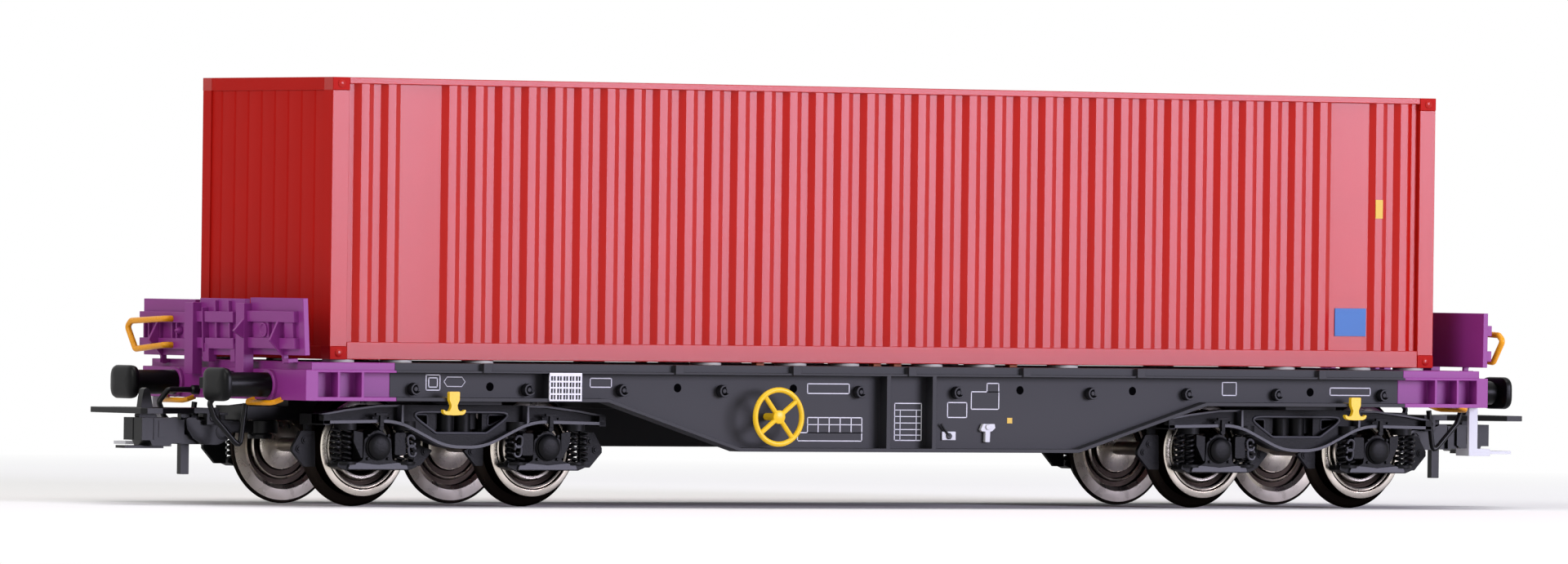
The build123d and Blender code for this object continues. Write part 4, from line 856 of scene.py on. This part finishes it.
def stay(form, y, foot_y):
    """A slanted stay in front of the flap and its foot on the deck."""
    fin = [(FLAP_X - 0.3, BAR_ZS[1] + 0.5), (FLAP_X + 0.1, BAR_ZS[1] + 0.5), (FLAP_X + 1.7, BAR_ZS[0] + 0.4),
           (FLAP_X + 0.15, FLAP_LOW - 0.1), (FLAP_X + 0.1, DECK_Z - 0.2), (FLAP_X - 0.5, DECK_Z - 0.2)]
    form.prism(fin, y - 0.2, y + 0.2)
    form.box((FLAP_X - 0.9, FLAP_X + 0.3), (foot_y - 0.55, foot_y + 0.55), (DECK_Z - 0.1, DECK_Z + 0.32))


def leaning(form, degrees, drop):
    turn = Matrix.Rotation(math.radians(degrees), 4, "Y")
    foot = Matrix.Translation((FLAP_X, 0, DECK_Z - drop))
    return Form().join(form, foot @ turn @ Matrix.Translation((-FLAP_X, 0, -DECK_Z)))


handle_flap = flap(-OUTER_Y, OUTER_W, [(-17.4, -7.3)])
ribs(handle_flap, [-OUTER_Y + d for d in (-4.9, -3.9, -1.5, 1.2, 2.2, 4.0)], 0.14, 0.42, POCKET)
stay(handle_flap, -OUTER_Y - 1.6, -OUTER_Y - 2.0)
handle_flap.lathe([(0.42, FLAP_X), (0.39, FLAP_X + 0.3), (0.13, FLAP_X + 0.75), (0.02, FLAP_X + 0.8)],
                  (0, -OUTER_Y + 2.6, MIDDLE_Z), axis="X", steps=24)

middle_flap = flap(0.0, MID_W, [(-5.6, -3.45), (-2.95, 3.2)])
ribs(middle_flap, (-0.8, 2.05), 0.15, 0.45, POCKET)
ribs(middle_flap, (-1.0, 1.9), 0.15, 0.42, (BAR_ZS[1], FLAP_TOP - 0.2))
ribs(middle_flap, (-3.2,), 0.1, 0.75, (BAR_ZS[0] - 0.9, BAR_ZS[1] + 1.0))
middle_flap.box((FLAP_X - 0.4, FLAP_X + BAR_OUT), (-3.6, -2.2), (DECK_Z, BAR_ZS[0]))
middle_flap.box((FLAP_X - 0.4, FLAP_X + 0.5), (2.3, 3.3), (DECK_Z, BAR_ZS[0]))
middle_flap.bar([(FLAP_X + 0.35, 3.9, BAR_ZS[0]), (FLAP_X + 0.35, 4.2, FLAP_TOP - 0.7)], 0.18, 8)

plain_flap = flap(OUTER_Y, OUTER_W, [(6.3, 16.4)])
for span in ((7.4, 10.6), (14.0, 15.8)):
    plain_flap.box((FLAP_BACK, FLAP_X + 0.4), span, POCKET)
stay(plain_flap, OUTER_Y + 1.1, OUTER_Y + 2.0)
plain_flap.lathe([(0.8, FLAP_X + 0.38), (0.78, FLAP_X + 0.56), (0.6, FLAP_X + 0.56), (0.5, FLAP_X + 0.42),
                  (0.02, FLAP_X + 0.4)], (0, 9.6, MIDDLE_Z), axis="X", steps=32)

flaps = Form().join(leaning(handle_flap, 0.5, 0.3))
flaps.join(leaning(middle_flap, 2.0, 0.15)).join(leaning(plain_flap, 3.0, 0.0))
at_both_ends(flaps, "flap_panels", "frame", "purple_plastic", "end_flaps", round_mm=0.05)
on_frame(Form().prism(GAP_FIN, 6.0, 6.4), "gap_fins", "purple_plastic")
print("flap panels", 6)

# %% [markdown]
# The buffers are black mouldings pushed into the headstock: a smooth stock and an oblong crowned head.
# The purple collar round each stock belongs to the headstock, so it is a piece of its own.

# %% Buffers
BUFFER_Z, BUFFER_YS, BUFFER_FACE = 12.85, (-10.06, 10.06), 82.0
HEAD_W, HEAD_H, HEAD_R = 5.2, 3.55, 1.35
# Distance behind the buffer's face, and growth of the outline there.
HEAD_SECTIONS = ((1.1, -0.5), (0.98, -0.14), (0.72, 0.0), (0.45, 0.0), (0.25, -0.24), (0.1, -0.8),
                 (0.02, -2.0), (0.0, -3.2))


def head_outline(y, grow):
    half_w, half_h = (HEAD_W + grow) / 2, (HEAD_H + grow) / 2
    low, high = BUFFER_Z - half_h, BUFFER_Z + half_h
    corners = [(y - half_w, low), (y + half_w, low), (y + half_w, high), (y - half_w, high)]
    return rounded(corners, max(HEAD_R + grow / 2, 0.2), 6)


buffers, collars = Form(), Form()
for y in BUFFER_YS:
    buffers.lathe([(1.3, FLAP_X - 0.1), (1.3, 80.5), (1.0, 80.55), (1.0, 81.1)], (0, y, BUFFER_Z), axis="X",
                  steps=48)
    points = [(BUFFER_FACE - behind, *spot)
              for behind, grow in HEAD_SECTIONS for spot in head_outline(y, grow)]
    buffers.add(points, ring_faces(len(HEAD_SECTIONS), len(points) // len(HEAD_SECTIONS)))
    collars.lathe([(1.6, FLAP_X - 0.1), (1.6, FLAP_X + 0.32), (1.5, FLAP_X + 0.42), (1.2, FLAP_X + 0.44)],
                  (0, y, BUFFER_Z), axis="X", steps=48)
at_both_ends(buffers, "buffer_pair", "frame", "black_plastic", "buffers", round_mm=0, finish=buffer_styrene)
on_frame(collars, "buffer_collars", "purple_plastic", smooth=30)
print("buffers", 4)

# %% [markdown]
# Below the buffers hang the shunter's grips, bent from amber wire, and beside the coupler the brake
# hoses, each a bent rod in a socket on the headstock.

# %% Grips and hoses
GRIP = [(74.8, 6.6, 11.35), (75.7, 6.6, 11.05), (76.0, 7.1, 10.95), (76.0, 11.8, 10.95), (75.7, 12.3, 11.05),
        (74.8, 12.3, 11.35)]
GRIP_R, HOSE_R, HOSE_Z, HOSE_BEND = 0.28, 0.3, 12.1, 0.5
HOSE = rounded([(75.0, HOSE_Z), (78.6, HOSE_Z), (79.75, 10.8), (79.13, 9.3), (76.0, 6.07), (75.4, 10.8)],
               HOSE_BEND, 4, closed=False)
grips = Form().bar(GRIP, GRIP_R).bar([(x, -y, z) for x, y, z in GRIP], GRIP_R)
on_frame(grips, "shunter_grips", "yellow_plastic", ("shunter_handles",), round_mm=0, finish=amber_enamel)
hoses = Form()
for y in (-5.5, 5.5):
    hoses.bar([(x, y, z) for x, z in HOSE], HOSE_R)
    hoses.lathe([(0.5, FLAP_X - 0.1), (0.5, FLAP_X + 0.7), (0.32, FLAP_X + 0.9)], (0, y, HOSE_Z), axis="X",
                steps=20)
on_frame(hoses, "brake_hose_loops", "black_plastic", ("brake_hoses",), round_mm=0)
print("hose corners", len(HOSE))

# %% [markdown]
# The couplers are close couplings with a bow. The head carries a tall hook tower, two side plates cut
# like a sector of a disc with a round pin at their rear corner, and a block with raised strips on both
# faces. The bow keeps its solid, because it moves on its own hinge.

# %% Coupler heads
SHANK_HALF, CHEEK_T = 1.2, 0.6
SECTOR = [(73.9, 8.0), (75.1, 7.6), (75.3, 6.9), (76.55, 6.35), (78.4, 6.35), (79.6, 7.0), (80.3, 8.0),
          (80.55, 9.27), (79.4, 9.2), (79.0, 8.95), (76.6, 8.94), (73.9, 8.9)]
TOWER = [(83.1, 9.15), (83.75, 10.2), (84.0, 11.4), (84.15, 12.1), (84.5, 12.38), (84.85, 12.2),
         (85.05, 11.4), (85.2, 10.3), (85.5, 9.15)]
HEAD_BLOCK = [(81.6, 6.9), (82.6, 6.2), (84.6, 6.2), (84.9, 6.8), (85.9, 6.8), (85.9, 9.2), (81.6, 9.2)]
# Span along the wagon, half the width, and span of the height.
CENTRE_BOXES = (((80.6, 82.0), 1.7, (6.5, 9.0)), ((78.0, 81.0), 1.3, (6.4, 7.4)),
                ((85.8, 85.96), 0.12, (6.85, 9.15)), ((75.3, 76.3), 1.6, (9.5, 9.75)),
                ((75.3, 75.8), 1.0, (8.8, 9.6)), ((82.7, 87.4), 1.0, (5.95, 6.25)))

head = Form()
head.lathe([(1.9, 7.6), (1.9, 8.9)], (70.5, 0, 0), axis="Z", steps=32)
head.box((70.5, 78.0), (-SHANK_HALF, SHANK_HALF), (7.62, 8.88))
for side in (-1, 1):
    head.prism(rounded(SECTOR, 0.5), *sorted((side * SHANK_HALF, side * (SHANK_HALF + CHEEK_T))))
    head.lathe([(0.85, side * 1.7), (0.85, side * 1.86), (0.55, side * 1.88), (0.52, side * 1.7)],
               (75.98, 0, 7.73), steps=28)
    head.lathe([(0.35, side * 1.6), (0.35, side * 2.48)], (77.6, 0, 9.2), steps=16)
    head.box((84.3, 84.5), sorted((side * 1.9, side * 2.06)), (6.85, 9.15))
    head.box((82.9, 83.9), sorted((side * 1.9, side * 2.05)), (7.1, 8.9))
head.prism(HEAD_BLOCK, -2.0, 2.0)
head.prism(rounded(TOWER, 0.25), -0.5, 0.5)
for x, half, z in CENTRE_BOXES:
    head.box(x, (-half, half), z)
at_both_ends(head, "coupler_casting", "coupler_{}", "black_plastic", "coupler_head", round_mm=0.07)
print("coupler heads", 2)

# %% [markdown]
# Small yellow fittings hang on the sides. The brake changeover levers are anchor shapes with a square
# top, a narrow waist and a bar with turned-up ends. The handwheels have a round rim and four spokes.

# %% Levers and handwheels
SIDE_Y, WEB_Y = 17.7, 16.2
LEVER_X, LEVER_LOW = 57.2, 9.82
ANCHOR_HALF = [(0.0, 0.0), (0.95, 0.04), (1.28, 0.2), (1.42, 0.5), (1.3, 0.62), (1.05, 0.42), (0.62, 0.44),
               (0.42, 0.72), (0.36, 1.05), (0.62, 1.6), (0.64, 2.5)]
anchor = rounded(ANCHOR_HALF + flipped(ANCHOR_HALF[1:])[::-1], 0.12, 2)
levers = Form()
for x in (-LEVER_X, LEVER_X):
    levers.prism([(x + dx, LEVER_LOW + dz) for dx, dz in anchor], -SIDE_Y - 0.5, -SIDE_Y)
    levers.box((x - 0.38, x + 0.38), (-SIDE_Y - 0.2, -WEB_Y), (11.3, 11.7))
on_frame(levers, "changeover_levers", "yellow_plastic", ("t_levers",), round_mm=0.07)

WHEEL_X, WHEEL_Z, RIM_R, RIM_STEPS = -17.4, 9.84, 2.9, 72
wheel_y = -SIDE_Y - 1.0
hub = Vector((WHEEL_X, wheel_y, WHEEL_Z))


def spoke_way(angle):
    return Vector((math.cos(angle), 0, math.sin(angle)))


handwheel = Form().bar([hub + spoke_way(2 * math.pi * k / RIM_STEPS) * RIM_R for k in range(RIM_STEPS + 1)],
                       0.29, 12)
for angle in (38, 128, 218, 308):
    handwheel.bar([hub, hub + spoke_way(math.radians(angle)) * (RIM_R - 0.05)], 0.27, 8)
handwheel.lathe([(0.72, wheel_y + 0.3), (0.72, wheel_y - 0.2), (0.45, wheel_y - 0.3)], (WHEEL_X, 0, WHEEL_Z),
                steps=24)
handwheel.lathe([(0.4, wheel_y), (0.4, -WEB_Y)], (WHEEL_X, 0, WHEEL_Z), steps=16)
on_frame(handwheel, "brake_handwheels", "yellow_plastic", ("handwheels",), round_mm=0)
print("levers", 4, "handwheels", 2)

# %% [markdown]
# The lattice boards are open white grids of five columns and four rows, with a short stroke in every
# opening, on a dark block that holds them off the web.

# %% Lattice boards
BOARD_X, BOARD_W, BOARD_H, BOARD_Z, BAR_HALF = -43.4, 4.0, 3.0, 12.885, 0.09
left, low = BOARD_X - BOARD_W / 2, BOARD_Z - BOARD_H / 2
column, row = (BOARD_W - 2 * BAR_HALF) / 5, (BOARD_H - 4 * BAR_HALF) / 4
board = Form()
for i in range(6):
    x = left + BAR_HALF + i * column
    board.box((x - BAR_HALF, x + BAR_HALF), (-SIDE_Y - 0.18, -SIDE_Y), (low, low + BOARD_H))
for i in range(5):
    z = low + BAR_HALF + i * row
    board.box((left, left + BOARD_W), (-SIDE_Y - 0.2, -SIDE_Y + 0.02), (z - BAR_HALF, z + BAR_HALF))
board.box((left, left + BOARD_W), (-SIDE_Y - 0.2, -SIDE_Y), (low + BOARD_H - 0.2, low + BOARD_H))
for i in range(5):
    for k in range(4):
        x, z = left + 0.5 + i * column, low + 0.42 + k * row
        board.box((x - 0.05, x + 0.05), (-SIDE_Y - 0.14, -SIDE_Y), (z - 0.3, z + 0.3))
on_frame(board, "lattice_grids", "white_print", ("lattice_boards",), round_mm=0.02, segments=1)
back = Form().box((left + 0.05, left + BOARD_W - 0.05), (-SIDE_Y, -WEB_Y), (low + 0.2, low + BOARD_H - 0.2))
on_frame(back, "lattice_backs", "anthracite_plastic", round_mm=0.05)
print("board openings", 5 * 4)

# %% [markdown]
# Along each sill stand open lashing rings with a bolt in the middle, five to each half. A thin black
# disc behind every ring is painted shade. Three more such discs to each half are painted shade where holes in
# the web would be.

# %% Lashing rings and painted shade discs
RING_XS, RING_Z, RING_R, RING_W = (6.2, 23.4, 35.9, 47.6, 61.5), 12.55, 0.66, 0.22
SHADE_DISC_XS, SHADE_DISC_Z, SHADE_DISC_R, SHIFT_X = (14.4, 28.9, 52.1), 12.85, 0.45, 0.35
arc = [math.radians(70 + 11 * k) for k in range(25)]
ring_outline = [(RING_R * math.cos(a), RING_R * math.sin(a)) for a in arc]
ring_outline += [((RING_R - RING_W) * math.cos(a), (RING_R - RING_W) * math.sin(a)) for a in reversed(arc)]
# The holes form holds flat discs of painted shade, not openings.
hooks, holes = Form(), Form()
for way in (-1, 1):
    for x in RING_XS:
        mid = way * x + SHIFT_X
        hooks.prism([(mid + a, RING_Z + b) for a, b in ring_outline], -WEB_Y - 0.8, -WEB_Y)
        hooks.lathe([(0.34, -WEB_Y), (0.34, -WEB_Y - 0.5), (0.22, -WEB_Y - 0.66)], (mid, 0, RING_Z), steps=20)
        holes.lathe([(RING_R + 0.02, -WEB_Y), (RING_R, -WEB_Y - 0.03)], (mid, 0, RING_Z), steps=28)
    for x in SHADE_DISC_XS:
        holes.lathe([(SHADE_DISC_R + 0.02, -WEB_Y), (SHADE_DISC_R, -WEB_Y - 0.03)], (way * x + SHIFT_X, 0, SHADE_DISC_Z),
                    steps=24)
hooks.with_mirror().piece("lashing_bollards", "frame", "anthracite_plastic", ("lashing_hooks",), 0.05)
# The discs are flat black on the web: painted shade for the holes and for the hollows behind the rings.
holes.with_mirror().piece("web_hole_shade_discs", "frame", "black_plastic", round_mm=0, finish=hole_shade_black)
print("rings a side", 2 * len(RING_XS))

# %% [markdown]
# Taps and levers sit on the web: a silver plate with a small black lever, and a silver tap with its
# pipe.

# %% Taps and brake levers
TAP = [(9.5, 8.55), (9.8, 9.2), (11.3, 9.2), (11.4, 8.75), (11.0, 8.4), (10.75, 8.35), (10.7, 7.2),
       (10.1, 7.2), (10.1, 8.35), (9.7, 8.35)]
taps = Form().box((4.72, 6.5), (-WEB_Y - 0.2, -WEB_Y), (7.4, 8.35)).prism(TAP, -WEB_Y - 0.45, -WEB_Y)
taps.lathe([(0.3, -WEB_Y), (0.3, -WEB_Y - 0.6), (0.16, -WEB_Y - 0.6)], (10.4, 0, 8.85), steps=16)
on_frame(taps, "brake_taps", "silver_paint", ("levers_and_taps",), round_mm=0.06)
lever = Form().bar([(5.6, -WEB_Y - 0.25, 7.85), (4.5, -WEB_Y - 0.3, 9.15)], 0.13, 8)
lever.lathe([(0.34, -WEB_Y), (0.34, -WEB_Y - 0.35)], (5.6, 0, 7.85), steps=20)
on_frame(lever, "brake_levers", "black_plastic")
print("tap corners", len(TAP))

# %% [markdown]
# The white pad printing on the sills is a set of boxes in thin outline, with a hexagon at one end. Ink
# lies almost flush, so each line stands out by hundredths of a millimetre. A small yellow mark lies
# beside them.

# %% Printed boxes
INK_T, LINE, THIN = 0.015, 0.1, 0.04
# Left, right, bottom and top of each box.
OUTLINES = (
    (-12.32, -6.96, 12.32, 13.45), (-13.51, -5.31, 7.22, 8.2), (-12.27, -5.31, 8.1, 9.83),
    (-1.27, 2.23, 7.32, 11.41), (5.46, 8.01, 9.82, 11.53), (8.47, 12.09, 10.73, 12.71),
    (10.47, 12.07, 12.61, 13.63), (-59.62, -57.83, 12.4, 14.1), (-59.3, -58.15, 12.72, 13.8),
    (40.88, 42.8, 12.4, 13.92), (55.02, 60.41, 12.49, 13.39), (-39.46, -36.73, 12.83, 13.87))
HEXAGON = ((-57.4, 13.35), (-57.0, 13.85), (-55.2, 13.85), (-54.8, 13.35), (-55.2, 12.85), (-57.0, 12.85))
prints = Form()


def outline_box(x0, x1, z0, z1, line=LINE):
    for x, z in (((x0, x1), (z0, z0 + line)), ((x0, x1), (z1 - line, z1)), ((x0, x0 + line), (z0, z1)),
                 ((x1 - line, x1), (z0, z1))):
        prints.box(x, (-WEB_Y - INK_T, -WEB_Y + 0.02), z)


for outline in OUTLINES:
    outline_box(*outline)
for i in range(1, 5):
    outline_box(-12.27 + i * 1.39 - 0.05, -12.27 + i * 1.39 + 0.05, 8.1, 9.83, 0.05)
outline_box(-12.27, -5.31, 8.98, 9.06, THIN)
for x in (-0.55, 1.5):
    outline_box(x, x + 0.08, 7.32, 10.7, THIN)
for z in (10.6, 9.9, 9.2, 8.5, 7.9):
    outline_box(-1.27, 2.23, z, z + 0.08, THIN)
rim_loop = [(x, -WEB_Y, z) for x, z in HEXAGON]
prints.bar(rim_loop + [rim_loop[0]], 0.05, 6)
on_frame(prints, "blank_print", "white_print", round_mm=0)
mark = Form().box((13.14, 13.78), (-WEB_Y - 0.03, -WEB_Y + 0.02), (9.26, 9.86))
on_frame(mark, "yellow_sill_marks", "yellow_plastic", round_mm=0, finish=yellow_plate)
print("outlined boxes a side", len(OUTLINES))
